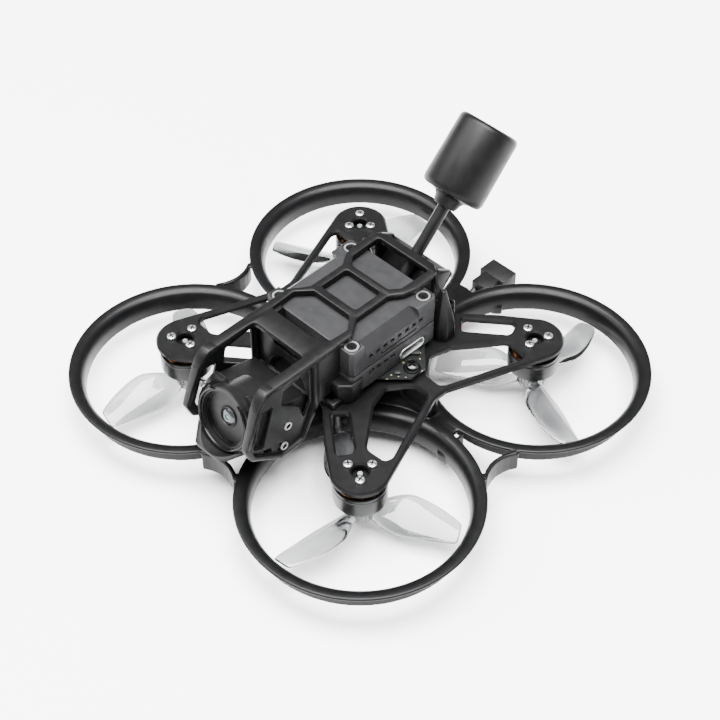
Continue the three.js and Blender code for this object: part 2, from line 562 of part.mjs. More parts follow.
/** A round lead along its route. */
function lead(points) {
  const path = new THREE.CatmullRomCurve3(points.map((p) => new THREE.Vector3(...p)));
  const outline = new THREE.Shape(
    arc(0, 0, LEAD_RADIUS, 0, 315, 7).map(([x, y]) => new THREE.Vector2(x, y)));
  return new THREE.ExtrudeGeometry(outline, { steps: 12, extrudePath: path });
}
add("lead_red", lead(ROUTES.red), RED_SILICONE);
add("lead_black", lead(ROUTES.black), BLACK_SILICONE);

export default group;
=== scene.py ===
import json
import math

import bmesh
import bpy
from mathutils import Matrix, Vector


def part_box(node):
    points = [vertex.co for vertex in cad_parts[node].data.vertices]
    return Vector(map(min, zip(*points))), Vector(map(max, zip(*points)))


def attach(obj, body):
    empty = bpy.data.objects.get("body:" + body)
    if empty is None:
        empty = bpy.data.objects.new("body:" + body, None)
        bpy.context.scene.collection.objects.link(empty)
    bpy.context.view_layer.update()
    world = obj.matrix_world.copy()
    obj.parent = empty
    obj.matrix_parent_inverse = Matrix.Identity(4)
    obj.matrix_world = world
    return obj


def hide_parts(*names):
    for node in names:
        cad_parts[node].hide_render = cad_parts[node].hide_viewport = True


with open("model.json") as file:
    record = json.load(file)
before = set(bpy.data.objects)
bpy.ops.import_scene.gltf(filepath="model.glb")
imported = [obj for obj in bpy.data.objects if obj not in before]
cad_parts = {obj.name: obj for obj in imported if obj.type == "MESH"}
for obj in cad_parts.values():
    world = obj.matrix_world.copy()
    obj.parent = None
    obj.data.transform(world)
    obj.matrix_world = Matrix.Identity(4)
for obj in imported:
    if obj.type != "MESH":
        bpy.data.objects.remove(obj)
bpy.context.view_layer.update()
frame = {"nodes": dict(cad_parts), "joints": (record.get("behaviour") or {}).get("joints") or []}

MM = 0.001
CORNERS = {
    "front_left": (1, -1), "front_right": (-1, -1), "rear_left": (1, 1), "rear_right": (-1, 1),
}
JOINTS = {joint["name"]: joint for joint in frame["joints"]}
MOTOR = JOINTS["spin_rear_left"]["pos_m"][0] / MM  # each motor axis is at (+-MOTOR, +-MOTOR)
TILT = -14  # the camera's lean in its cage, in degrees


def extent(node):
    """A CAD node's lowest and highest corner, in millimetres."""
    low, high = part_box(node)
    return low / MM, high / MM


def centre(node):
    """The middle of a CAD node's box, in millimetres."""
    low, high = extent(node)
    return (low + high) / 2


def added(name, data):
    """A new object in the scene."""
    obj = bpy.data.objects.new(name, data)
    bpy.context.scene.collection.objects.link(obj)
    return obj


# ---- Camera ----
def make_camera():
    """The viewpoint: high in front of the drone's left, with a long lens."""
    azimuth, elevation, roll = math.radians(44.985), math.radians(45.464), math.radians(-0.044)
    distance, aim_height = 437.9, 13.233
    back = Vector((
        math.sin(azimuth) * math.cos(elevation),
        -math.cos(azimuth) * math.cos(elevation),
        math.sin(elevation),
    ))
    data = bpy.data.cameras.new("camera")
    data.sensor_width = 36
    data.lens = 84.115
    data.clip_start = 0.02
    camera = added("camera", data)
    place = (back * distance + Vector((0, 0, aim_height))) * MM
    aim = (-back).to_track_quat("-Z", "Y").to_matrix().to_4x4()
    camera.matrix_world = Matrix.Translation(place) @ aim @ Matrix.Rotation(roll, 4, "Z")
    bpy.context.scene.camera = camera


make_camera()


# ---- Mesh helpers ----
WELD = 2e-6  # metres within which a mesh's points are one
FLAT = math.radians(1)  # faces that turn by less than this are one face
TO_SIDE = Matrix(((0, 0, 1, 0), (1, 0, 0, 0), (0, 1, 0, 0), (0, 0, 0, 1)))
TO_FRONT = Matrix(((1, 0, 0, 0), (0, 0, -1, 0), (0, 1, 0, 0), (0, 0, 0, 1)))


def at(x, y, z=0.0):
    """The move of a mesh made about the origin to (x, y, z), in millimetres."""
    return Matrix.Translation(Vector((x, y, z)) * MM)


def turned(degrees, axis="Z"):
    return Matrix.Rotation(math.radians(degrees), 4, axis)


def from_bmesh(bm, name):
    """A mesh from a bmesh, with its faces turned outwards."""
    bmesh.ops.recalc_face_normals(bm, faces=bm.faces)
    mesh = bpy.data.meshes.new(name)
    bm.to_mesh(mesh)
    bm.free()
    return mesh


def lathe(profile, segments=96):
    """A profile of (radius, z) points turned about the Z axis; it closes on itself or on the axis."""
    closed = profile[0] == profile[-1]
    points = profile[:-1] if closed else profile
    bm = bmesh.new()
    rings = []
    for radius, z in points:
        count = segments if radius > 1e-6 else 1
        rings.append([
            bm.verts.new((
                radius * MM * math.cos(2 * math.pi * i / count),
                radius * MM * math.sin(2 * math.pi * i / count),
                z * MM,
            ))
            for i in range(count)
        ])
    following = rings[1:] + (rings[:1] if closed else [])
    for lower, upper in zip(rings, following):
        for i in range(segments):
            j = (i + 1) % segments
            corners = [lower[i % len(lower)], lower[j % len(lower)],
                       upper[j % len(upper)], upper[i % len(upper)]]
            face = list(dict.fromkeys(corners))
            if len(face) > 2:
                bm.faces.new(face)
    return from_bmesh(bm, "lathe")


def rod(radius, low, high, segments=32):
    """An upright cylinder from one height to another."""
    return lathe([(0, low), (radius, low), (radius, high), (0, high)], segments)


def loft(sections):
    """Quads between closed loops of (x, y, z) points, all with one count, and a cap at each end."""
    bm = bmesh.new()
    loops = [[bm.verts.new(Vector(p) * MM) for p in section] for section in sections]
    for a, b in zip(loops, loops[1:]):
        for i in range(len(a)):
            j = (i + 1) % len(a)
            bm.faces.new((a[i], a[j], b[j], b[i]))
    bm.faces.new(loops[0][::-1])
    bm.faces.new(loops[-1])
    return from_bmesh(bm, "loft")


def rounded(points, radius, steps=5):
    """An outline of (x, y) points with each corner rounded off, as far as its sides allow."""
    radii = radius if isinstance(radius, (list, tuple)) else [radius] * len(points)
    outline = []
    for i, corner in enumerate(points):
        here = Vector(corner)
        before = Vector(points[i - 1]) - here
        after = Vector(points[(i + 1) % len(points)]) - here
        half = before.angle(after, math.pi) / 2
        reach = min(radii[i] / max(math.tan(half), 1e-3), 0.48 * before.length, 0.48 * after.length)
        if reach < 0.02:
            outline.append(tuple(here))
            continue
        start, end = here + before.normalized() * reach, here + after.normalized() * reach
        for step in range(steps + 1):
            t = step / steps
            outline.append(tuple(start * (1 - t) ** 2 + here * 2 * t * (1 - t) + end * t * t))
    return outline


def arc(x, y, radius, angles):
    """Points of the circle about (x, y) at the given angles, in degrees."""
    return [(x + radius * math.cos(math.radians(a)), y + radius * math.sin(math.radians(a)))
            for a in angles]


def circle(x, y, radius, count=48):
    return arc(x, y, radius, [360 * i / count for i in range(count)])


def mirrored(half):
    """An outline from its +X half, in order along the edge."""
    return [*half, *[(-x, y) for x, y in reversed(half)]]


def plate(outlines, bottom, top, bevel, segments=1):
    """An upright plate: its edge's outline and then its holes', all with bevelled rims."""
    curve = bpy.data.curves.new("plate", "CURVE")
    curve.dimensions = "2D"
    curve.fill_mode = "BOTH"
    curve.extrude = ((top - bottom) / 2 - bevel) * MM
    curve.bevel_depth = bevel * MM
    curve.bevel_resolution = segments - 1
    curve.offset = -bevel * MM
    for outline in outlines:
        spline = curve.splines.new("POLY")
        spline.points.add(len(outline) - 1)
        spline.use_cyclic_u = True
        for point, (x, y) in zip(spline.points, outline):
            point.co = (x * MM, y * MM, 0, 1)
    holder = added("plate", curve)
    mesh = evaluated(holder)
    bpy.data.objects.remove(holder)
    bm = bmesh.new()
    bm.from_mesh(mesh)
    bmesh.ops.remove_doubles(bm, verts=bm.verts, dist=WELD)
    made = from_bmesh(bm, "plate")
    made.transform(Matrix.Translation((0, 0, (bottom + top) / 2 * MM)))
    return made


def evaluated(obj):
    """The object's mesh with its modifiers applied."""
    bpy.context.view_layer.update()
    graph = bpy.context.evaluated_depsgraph_get()
    return bpy.data.meshes.new_from_object(obj.evaluated_get(graph), depsgraph=graph)


def modified(mesh, *modifiers):
    """A mesh after a list of modifiers, each (type, {setting: value})."""
    holder = added("holder", mesh)
    for kind, settings in modifiers:
        modifier = holder.modifiers.new(kind, kind)
        for key, value in settings.items():
            setattr(modifier, key, value)
    made = evaluated(holder)
    bpy.data.objects.remove(holder)
    return made


def cut(mesh, tool):
    """One mesh less another."""
    holder = added("tool", tool)
    made = modified(mesh, ("BOOLEAN", {"object": holder, "operation": "DIFFERENCE", "solver": "EXACT"}))
    bpy.data.objects.remove(holder)
    return made


def side_plate(outlines, x0, x1, bevel, segments=1):
    """A bevelled plate whose outlines are (y, z) points, from x0 to x1."""
    return placed(plate(outlines, x0, x1, bevel, segments), TO_SIDE)


def front_plate(outlines, y0, y1, bevel, segments=1):
    """A bevelled plate whose outlines are (x, z) points, from y0 to y1."""
    return placed(plate(outlines, -y1, -y0, bevel, segments), TO_FRONT)


def broken(mesh, bevel, segments=2, angle=25):
    """A mesh with its sharp edges rounded over."""
    return modified(mesh, ("BEVEL", {
        "width": bevel * MM, "segments": segments, "limit_method": "ANGLE",
        "angle_limit": math.radians(angle), "use_clamp_overlap": True,
    }))


def hull(points):
    """The solid stretched over a set of (x, y, z) points."""
    bm = bmesh.new()
    for point in points:
        bm.verts.new(Vector(point) * MM)
    made = bmesh.ops.convex_hull(bm, input=bm.verts)
    inside = [item for item in made["geom_interior"] if isinstance(item, bmesh.types.BMVert)]
    bmesh.ops.delete(bm, geom=inside, context="VERTS")
    bmesh.ops.dissolve_limit(bm, angle_limit=FLAT, verts=bm.verts, edges=bm.edges)
    return from_bmesh(bm, "hull")


def tapered(x, y, sides, levels):
    """An upright rod with flat sides, through (radius, z) levels."""
    angles = [360 * (i + 0.5) / sides for i in range(sides)]
    return loft([[(*corner, z) for corner in arc(x, y, radius, angles)] for radius, z in levels])


def both_sides(mesh):
    """A mesh and its mirror image across the drone's middle."""
    return [mesh, placed(mesh, Matrix.Scale(-1, 4, (1, 0, 0)))]


def together(*meshes):
    """Several meshes as one, each keeping its own shells."""
    bm = bmesh.new()
    for mesh in meshes:
        bm.from_mesh(mesh)
    made = bpy.data.meshes.new("together")
    bm.to_mesh(made)
    bm.free()
    return made


def placed(mesh, matrix):
    """A copy of a mesh, moved by a matrix; a mirroring matrix keeps its faces outwards."""
    made = mesh.copy()
    made.transform(matrix)
    if matrix.determinant() < 0:
        made.flip_normals()
    return made


def block(low, high, bevel=0.0, segments=2):
    """A box from its lowest to its highest corner, with bevelled edges."""
    bm = bmesh.new()
    bmesh.ops.create_cube(bm, size=1)
    size = Vector(high) - Vector(low)
    middle = (Vector(high) + Vector(low)) / 2
    for vert in bm.verts:
        vert.co = vert.co * size * MM + middle * MM
    if bevel:
        bmesh.ops.bevel(bm, geom=bm.edges[:], offset=bevel * MM, segments=segments, affect="EDGES",
                        profile=0.5, clamp_overlap=True)
    return from_bmesh(bm, "block")


def softened(node, bevel, segments=2, angle=25):
    """A CAD node's shape with its edges broken, as a mesh of its own."""
    bm = bmesh.new()
    bm.from_mesh(frame["nodes"][node].data)
    bmesh.ops.remove_doubles(bm, verts=bm.verts, dist=WELD)
    bmesh.ops.dissolve_limit(bm, angle_limit=FLAT, verts=bm.verts, edges=bm.edges)
    return broken(from_bmesh(bm, node), bevel, segments, angle)


def piece(name, mesh, material, body="airframe", nodes=(), sharp=32):
    """Adds a finished mesh to the object: its material, its body and the CAD nodes it stands for."""
    obj = added(name, mesh)
    mesh.polygons.foreach_set("use_smooth", [True] * len(mesh.polygons))
    mesh.set_sharp_from_angle(angle=math.radians(sharp))
    mesh.materials.clear()
    mesh.materials.append(material)
    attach(obj, body)
    if nodes:
        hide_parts(*nodes)
    return obj


# ---- Materials ----
class Graph:
    """A node material with a few short-hands."""

    COLOUR_INPUTS, COLOUR_OUTPUT = (6, 7), 2  # the Mix node's colour sockets

    def __init__(self, name):
        self.material = bpy.data.materials.new(name)
        self.material.use_nodes = True
        self.tree = self.material.node_tree
        self.shader = self.tree.nodes["Principled BSDF"]
        self.place = self.add("ShaderNodeTexCoord").outputs["Object"]

    def add(self, kind, inputs=None, **settings):
        node = self.tree.nodes.new(kind)
        for key, value in settings.items():
            setattr(node, key, value)
        for key, value in (inputs or {}).items():
            self.feed(node.inputs[key], value)
        return node

    def feed(self, socket, value):
        """Links a socket to another, or gives it a value."""
        if isinstance(value, bpy.types.NodeSocket):
            self.tree.links.new(value, socket)
        else:
            socket.default_value = value

    def set(self, **sockets):
        """Sets or links the shader's sockets; underscores stand for spaces."""
        for key, value in sockets.items():
            self.feed(self.shader.inputs[key.replace("_", " ")], value)

    def stretched(self, scale):
        """Object coordinates stretched along each axis."""
        return self.add("ShaderNodeMapping", {"Vector": self.place, "Scale": scale}).outputs["Vector"]

    def noise(self, size, detail=2.0, vector=None):
        """Noise whose lumps are about size millimetres across."""
        return self.add("ShaderNodeTexNoise", {
            "Vector": vector or self.place, "Scale": 1 / (size * MM), "Detail": detail,
        }).outputs["Fac"]

    def spread(self, factor, low, high):
        """Noise spread between two values."""
        return self.add("ShaderNodeMapRange", {
            "Value": factor, "From Min": 0.3, "From Max": 0.7, "To Min": low, "To Max": high,
        }).outputs["Result"]

    def blend(self, factor, first, second):
        """A colour between two colours."""
        node = self.add("ShaderNodeMix", data_type="RGBA")
        self.feed(node.inputs["Factor"], factor)
        for socket, value in zip(self.COLOUR_INPUTS, (first, second)):
            linked = isinstance(value, bpy.types.NodeSocket)
            self.feed(node.inputs[socket], value if linked else (*value, 1))
        return node.outputs[self.COLOUR_OUTPUT]

    def bump(self, height, depth, under=None):
        """A bump of depth millimetres, over another bump if one is given."""
        inputs = {"Height": height, "Distance": depth * MM, "Strength": 1.0}
        if under:
            inputs["Normal"] = under
        return self.add("ShaderNodeBump", inputs).outputs["Normal"]


def moulded(name, dark, light, rough, grain=0.16, depth=0.006, metallic=0.0, patch=6.0, **sockets):
    """A moulded or blasted surface: slow drifts of tone and gloss under a fine even grain."""
    graph = Graph(name)
    drift = graph.noise(patch, 3)
    fine = graph.noise(grain, 4)
    graph.set(
        Base_Color=graph.blend(drift, dark, light),
        Roughness=graph.spread(graph.noise(patch / 3, 4), rough[0], rough[1]),
        Metallic=metallic,
        Normal=graph.bump(fine, depth, graph.bump(drift, depth * 2)),
        **sockets,
    )
    return graph.material


def plastic(name, dark, light, rough, gloss, **settings):
    """Near-black plastic or rubber between two greys; gloss is its specular level."""
    greys = [(level, level, level + 0.0002) for level in (dark, light)]
    return moulded(name, *greys, rough, Specular_IOR_Level=gloss, **settings)


def turned_metal(name, color, rough):
    """Lathe-turned metal, with fine rings round the motor's axis."""
    graph = Graph(name)
    rings = graph.noise(1.0, 3, graph.stretched((0.02, 0.02, 14)))
    graph.set(
        Base_Color=graph.blend(rings, [c * 0.8 for c in color], [c * 1.25 for c in color]),
        Roughness=graph.spread(rings, rough - 0.06, rough + 0.08),
        Metallic=0.75,
        Normal=graph.bump(rings, 0.004),
    )
    return graph.material


def bright_metal(name, color, rough):
    """Polished metal with hairline scratches and a faint film of fingerprints."""
    graph = Graph(name)
    scratches = graph.noise(0.3, 2, graph.stretched((1, 14, 5)))
    film = graph.noise(1.5, 3)
    graph.set(
        Base_Color=graph.blend(film, [c * 0.86 for c in color], color),
        Roughness=graph.spread(scratches, rough, rough + 0.14),
        Metallic=1.0,
        Normal=graph.bump(scratches, 0.002),
    )
    return graph.material


def clear_plastic(name):
    """Clear polycarbonate with faint flow lines and a few rubbed patches."""
    graph = Graph(name)
    flow = graph.noise(3.0, 2)
    graph.set(
        Base_Color=graph.blend(graph.noise(7.0, 2), (0.26, 0.265, 0.27), (0.37, 0.375, 0.38)),
        Roughness=graph.spread(graph.noise(5.0, 4), 0.02, 0.10),
        IOR=1.58,
        Transmission_Weight=1.0,
        Normal=graph.bump(flow, 0.02),
    )
    return graph.material


def copper_wire(name):
    """Enamelled copper, with the raised turns of wound wire, darker in the grooves as painted shade and
    lighter on the turns' tops as painted highlight.
    """
    graph = Graph(name)
    ridges_and_groove_shade = graph.add("ShaderNodeTexWave", {
        "Vector": graph.place, "Scale": 900, "Distortion": 1.5, "Detail": 1,
    }, bands_direction="Z").outputs["Fac"]
    graph.set(
        # Painted shade in the grooves between turns and painted highlight on their tops.
        Base_Color=graph.blend(ridges_and_groove_shade, (0.30, 0.10, 0.035), (0.83, 0.36, 0.13)),
        Roughness=graph.spread(graph.noise(0.6), 0.22, 0.42),
        Metallic=0.9,
        Normal=graph.bump(ridges_and_groove_shade, 0.05),
    )
    return graph.material


def circuit(name):
    """A dark solder mask with the faint relief of tracks and a scatter of bright pads."""
    graph = Graph(name)
    tracks = graph.add("ShaderNodeTexBrick", {
        "Vector": graph.place, "Scale": 700, "Mortar Size": 0.03,
        "Color1": (0.35, 0.35, 0.35, 1), "Color2": (0.6, 0.6, 0.6, 1), "Mortar": (0, 0, 0, 1),
    }).outputs["Color"]
    cells = graph.add("ShaderNodeTexVoronoi", {"Vector": graph.place, "Scale": 750}).outputs["Distance"]
    pads = graph.add("ShaderNodeMath", {0: cells, 1: 0.16}, operation="LESS_THAN").outputs["Value"]
    mask = graph.blend(tracks, (0.003, 0.0035, 0.0035), (0.007, 0.0085, 0.008))
    graph.set(
        Base_Color=graph.blend(pads, mask, (0.55, 0.47, 0.28)),
        Roughness=graph.spread(graph.noise(0.8), 0.35, 0.5),
        Metallic=pads,
        Specular_IOR_Level=0.15,
        Normal=graph.bump(tracks, 0.02),
    )
    return graph.material


def coated_glass(name, tint, roughness=0.02, coat=1.0):
    """A coated lens surface: near-black glass whose base colour turns from a tint, head-on, to near-black
    with its slope; for the front glass and the pupil that tint is painted reflection.
    """
    graph = Graph(name)
    slope = graph.add("ShaderNodeLayerWeight", {"Blend": 0.35}).outputs["Facing"]
    dust = graph.noise(0.8, 3)
    graph.set(
        Base_Color=graph.blend(slope, tint, (0.012, 0.014, 0.02)),
        Roughness=graph.spread(dust, roughness, roughness + 0.05),
        Metallic=0.35,
        Coat_Weight=coat,
        Coat_Roughness=0.03,
    )
    return graph.material


BLACK = plastic("black_moulding", 0.0016, 0.0035, (0.28, 0.38), 0.13)
DECK = plastic("deck_moulding", 0.0022, 0.0042, (0.36, 0.47), 0.10)
BRACKET = plastic("bracket_moulding", 0.002, 0.0042, (0.33, 0.44), 0.15)
ALUMINIUM = moulded("blasted_aluminium", (0.016, 0.016, 0.017), (0.025, 0.025, 0.026), (0.42, 0.52),
                    grain=0.10, depth=0.008, metallic=0.5, Specular_IOR_Level=0.25)
CAMERA_SHELL = plastic("camera_shell", 0.003, 0.006, (0.32, 0.43), 0.15, grain=0.12)
HOOD = plastic("lens_hood", 0.0015, 0.0035, (0.20, 0.30), 0.18, grain=0.25)
RUBBER = plastic("soft_rubber", 0.002, 0.004, (0.34, 0.46), 0.14, grain=0.3, patch=9.0)
DAMPER = plastic("damper_rubber", 0.0025, 0.005, (0.5, 0.65), 0.15, grain=0.2)
LEADS = {
    "red": moulded("red_silicone", (0.50, 0.010, 0.007), (0.66, 0.018, 0.012), (0.34, 0.5), grain=0.3),
    "black": plastic("black_silicone", 0.004, 0.008, (0.34, 0.5), 0.4, grain=0.3),
}
PLUG = plastic("plug_nylon", 0.003, 0.006, (0.42, 0.56), 0.15, grain=0.2)
BELL = turned_metal("anodised_bell", (0.009, 0.009, 0.0095), 0.32)
STEEL = bright_metal("bright_steel", (0.46, 0.465, 0.47), 0.30)
DARK_STEEL = bright_metal("black_oxide_steel", (0.05, 0.05, 0.052), 0.24)
COPPER = copper_wire("enamelled_copper")
CLEAR = clear_plastic("clear_polycarbonate")
BOARD = circuit("circuit_board")
CHIP = moulded("chip_resin", (0.005, 0.005, 0.0052), (0.009, 0.009, 0.0093), (0.4, 0.55), grain=0.08,
               Specular_IOR_Level=0.35)
# Painted shade: a near-black, dull material for recess floors and the disc behind the lens glass,
# standing in for the shade inside them.
PAINTED_SHADE = moulded("recess_shadow", (0.0015, 0.0015, 0.0015), (0.003, 0.003, 0.003), (0.5, 0.7), grain=0.1,
                 Specular_IOR_Level=0.06)
# The front glass's grey tint is a painted reflection, the grey of the sky it mirrors.
GLASS_WITH_PAINTED_REFLECTION = coated_glass("front_glass_painted_reflection", (0.07, 0.072, 0.075), roughness=0.22, coat=0.5)
CORE = coated_glass("coated_core", (0.03, 0.033, 0.036), roughness=0.10, coat=0.2)
# The pupil's green tint is a painted glint.
PUPIL_PAINTED_GLINT = coated_glass("pupil_painted_glint", (0.01, 0.16, 0.10), coat=0.4)


# ---- Battery lead ----
LEAD_DIAMETER = 1.8
ROUTES = {
    "red": [
        (1.3, 15.4, 7), (1.3, 17.4, 7), (1.4, 19.4, 6.9), (1.7, 21.4, 6.3), (2.1, 23.4, 5.2),
        (2.5, 25.4, 3.9), (2.8, 27.6, 2.7), (2.9, 29.8, 1.7), (2.7, 32.2, 1.1), (2.2, 34.6, 0.95),
        (1.3, 37, 0.95), (0.3, 39.4, 0.95), (-0.5, 41.8, 0.95), (-1.1, 44.2, 1.1), (-1.5, 46.6, 1.6),
        (-1.6, 49.6, 2.6),
    ],
    "black": [
        (-1.3, 15.4, 7), (-1.3, 17.4, 7), (-1.3, 19.4, 6.9), (-1.1, 21.4, 6.3), (-0.7, 23.4, 5.2),
        (-0.3, 25.4, 3.9), (0.1, 27.6, 2.7), (0.2, 29.8, 1.7), (0, 32.2, 1.1), (-0.5, 34.6, 0.95),
        (-1.4, 37, 0.95), (-2.4, 39.4, 0.95), (-3.2, 41.8, 0.95), (-3.8, 44.2, 1.1), (-4.1, 46.6, 1.6),
        (-4.2, 49.6, 2.6),
    ],
}


def between(p, q, low, high, t):
    """The point for t on the line that is at p for low and at q for high."""
    return p * ((high - t) / (high - low)) + q * ((t - low) / (high - low))


def through(points, steps=12):
    """Points along a smooth centripetal curve through the given ones."""
    path = [Vector(p) for p in points]
    ends = [2 * path[0] - path[1], *path, 2 * path[-1] - path[-2]]
    made = []
    for a, b, c, d in zip(ends, ends[1:], ends[2:], ends[3:]):
        knots = [0.0]
        for p, q in ((a, b), (b, c), (c, d)):
            knots.append(knots[-1] + math.sqrt((q - p).length))
        for step in range(steps):
            t = knots[1] + (knots[2] - knots[1]) * step / steps
            first = between(a, b, knots[0], knots[1], t)
            second = between(b, c, knots[1], knots[2], t)
            third = between(c, d, knots[2], knots[3], t)
            left = between(first, second, knots[0], knots[2], t)
            right = between(second, third, knots[1], knots[3], t)
            made.append(between(left, right, knots[1], knots[2], t))
    return [*made, path[-1]]


def lead(name, color):
    """One silicone lead along its route, as a round curve."""
    line = through(ROUTES[color])
    curve = bpy.data.curves.new(name, "CURVE")
    curve.dimensions = "3D"
    curve.bevel_depth = LEAD_DIAMETER / 2 * MM
    curve.bevel_resolution = 6
    curve.use_fill_caps = True
    spline = curve.splines.new("POLY")
    spline.points.add(len(line) - 1)
    for point, place in zip(spline.points, line):
        point.co = (*(place * MM), 1)
    spline.use_smooth = True
    obj = added(name, curve)
    curve.materials.append(LEADS[color])
    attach(obj, "airframe")
    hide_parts(f"lead_{color}")
    length = sum((b - a).length for a, b in zip(line, line[1:])) * MM
    return obj, length, line[0] * MM


def battery_plug():
    """A two-way plug: a rear body with a latch rib and a narrower nose."""
    low, high = extent("battery_plug")
    step, pitch = 55.2, 2.6
    body = block((low.x, step, low.z), high, 0.2)
    nose = block((low.x + 1.6, low.y, low.z + 0.5), (high.x - 1.6, step + 0.5, high.z - 0.15), 0.2)
    rib = block((low.x + 2.8, step - 1.6, high.z - 1), (high.x - 2.8, high.y - 1, high.z), 0.2)
    mesh = together(body, nose, rib)
    for side in (-0.5, 0.5):
        middle = (low.x + high.x) / 2 + side * pitch
        socket = block((middle - 0.85, high.y - 2.5, 1.8), (middle + 0.85, high.y + 1, 3.6), 0.15)
        mesh = cut(mesh, socket)
    return piece("plug_shell", mesh, PLUG, nodes=["battery_plug"])


def battery_lead():
    plug = battery_plug()
    for color in ROUTES:
        obj, length, start = lead(f"{color}_lead", color)
    piece("grommet", softened("lead_grommet", 0.25), DAMPER, nodes=["lead_grommet"])


battery_lead()


# ---- Duct frame ----
LIP = 11.9  # the height of the ducts' lips


def duct_ring():
    """One duct's wall and rolled lip about its own axis."""
    return lathe([
        (26.7, 5.9), (28.3, 5.9), (28.3, 9.5), (28.6, 10.4), (29.4, 10.9), (30.75, 11.05), (30.97, 11.3),
        (30.97, 11.75), (30.75, 11.9), (29.6, 11.95), (28.6, 11.75), (27.7, 11.15), (27.1, 10.2),
        (26.8, 9.2), (26.7, 8.0), (26.7, 5.9),
    ], 192)


def star_outline(reach, tip, steps=10):
    """The outline left between four circles of the given radius about the motors, out to x = tip."""
    sweep = math.degrees(math.acos(min(1, (MOTOR - tip) / reach)))
    points = []
    for turn in (0, 90, 180, 270):
        axis = arc(0, 0, MOTOR * math.sqrt(2), [45 + turn])[0]
        angles = [turn + 180 + sweep + (90 - 2 * sweep) * i / steps for i in range(steps + 1)]
        points += arc(*axis, reach, angles)
    return points


def web(end):
    """A flat web between two ducts on the +X side, out to a rounded end."""
    points = [(10, -8), (10, 8), (22, 4.6), (end, 0.9), (end, -0.9), (22, -4.6)]
    return plate([rounded(points, 0.5)], LIP - 1.5, LIP - 0.1, 0.1)


def strut():
    """The curved wall that ties two ducts together outside their web, on the +X side."""
    inner = [(46.7 + 0.055 * y * y, y) for y in (-6, -4, -2, 0, 2, 4, 6)]
    outer = [(x + 1.25, y) for x, y in reversed(inner)]
    return plate([inner + outer], 5.9, LIP - 0.05, 0.1)


def rear_web():
    """The solid web between the rear ducts, ending in a shallow curve."""
    edge = [(-9, 10), (9, 10), (5, 24), (2.2, 33), (3.4, 40.6), (1.8, 41.2), (0, 41.4), (-1.8, 41.2),
            (-3.4, 40.6), (-2.2, 33), (-5, 24)]
    return plate([edge], LIP - 1.5, LIP - 0.1, 0.1)


def body_sections():
    """The star-shaped body between the rings, from its floor up to the deck."""
    levels = [(8.9, 31.27, 26), (11.6, 31.1, 26), (12.6, 31.9, 24), (14, 33.2, 21), (16, 34.4, 19),
              (19.2, 35.2, 18)]
    return [[(x, y, z) for x, y in star_outline(reach, tip)] for z, reach, tip in levels]


def ridge():
    """A rib up the body's +X arm, leaning out toward the deck."""
    levels = [(26, 11, 1), (26.4, 14, 0.65), (27.3, 19.2, 0.3)]
    return loft([[(16, -3 * slim, z), (tip, -1.6 * slim, z), (tip, 1.6 * slim, z), (16, 3 * slim, z)]
                 for tip, z, slim in levels])


def duct_frame():
    """The whole lower moulding: rings, webs, struts, body, posts and battery rails, blended."""
    ring = duct_ring()
    parts = [placed(ring, at(MOTOR * x, MOTOR * y)) for x, y in CORNERS.values()]
    for angle in (0, 180, 270):
        rib = block((34.6, -1.9, 6), (35.3, 1.9, LIP - 1), 0.1)
        parts += [placed(mesh, turned(angle)) for mesh in (web(33.8), strut(), rib)]
    parts.append(rear_web())
    for x, y, angle in ((34.2, -4.7, 5), (7.9, 45, 42), (-34.2, -4.7, -5), (-7.9, 45, -42)):
        bump = block((-1.5, -0.9, 5.1), (1.5, 0.9, 8), 0.3)
        parts.append(placed(bump, at(x, y) @ turned(angle)))
    parts.append(loft(body_sections()))
    rail = block((7.7, -13.7, 0), (9.5, 13.7, 9.4), 0.25)
    strap_slot = block((0, -5, 5.2), (20, 5, 7.0), 0.3)
    parts += both_sides(cut(rail, strap_slot)) + both_sides(ridge())
    post = lathe([(0, 11), (2.4, 11), (1.8, 13), (1.7, 19.2), (0, 19.2)], 32)
    parts += [placed(post, at(10.8 * x, 20.2 * y)) for x, y in CORNERS.values()]
    blended = modified(
        together(*parts),
        ("REMESH", {"mode": "VOXEL", "voxel_size": 0.27 * MM, "adaptivity": 0.0}),
        ("SMOOTH", {"factor": 0.5, "iterations": 7}),
    )
    nodes = [f"duct_{corner}" for corner in CORNERS] + ["lower_body"]
    piece("duct_frame", blended, BLACK, nodes=nodes, sharp=75)
    pad = block(*extent("battery_pad"), 0.3)
    piece("tray_pad", pad, DAMPER, nodes=["battery_pad"])


duct_frame()


# ---- Motor deck ----
DECK_TOP = extent("motor_deck")[0].z + 2


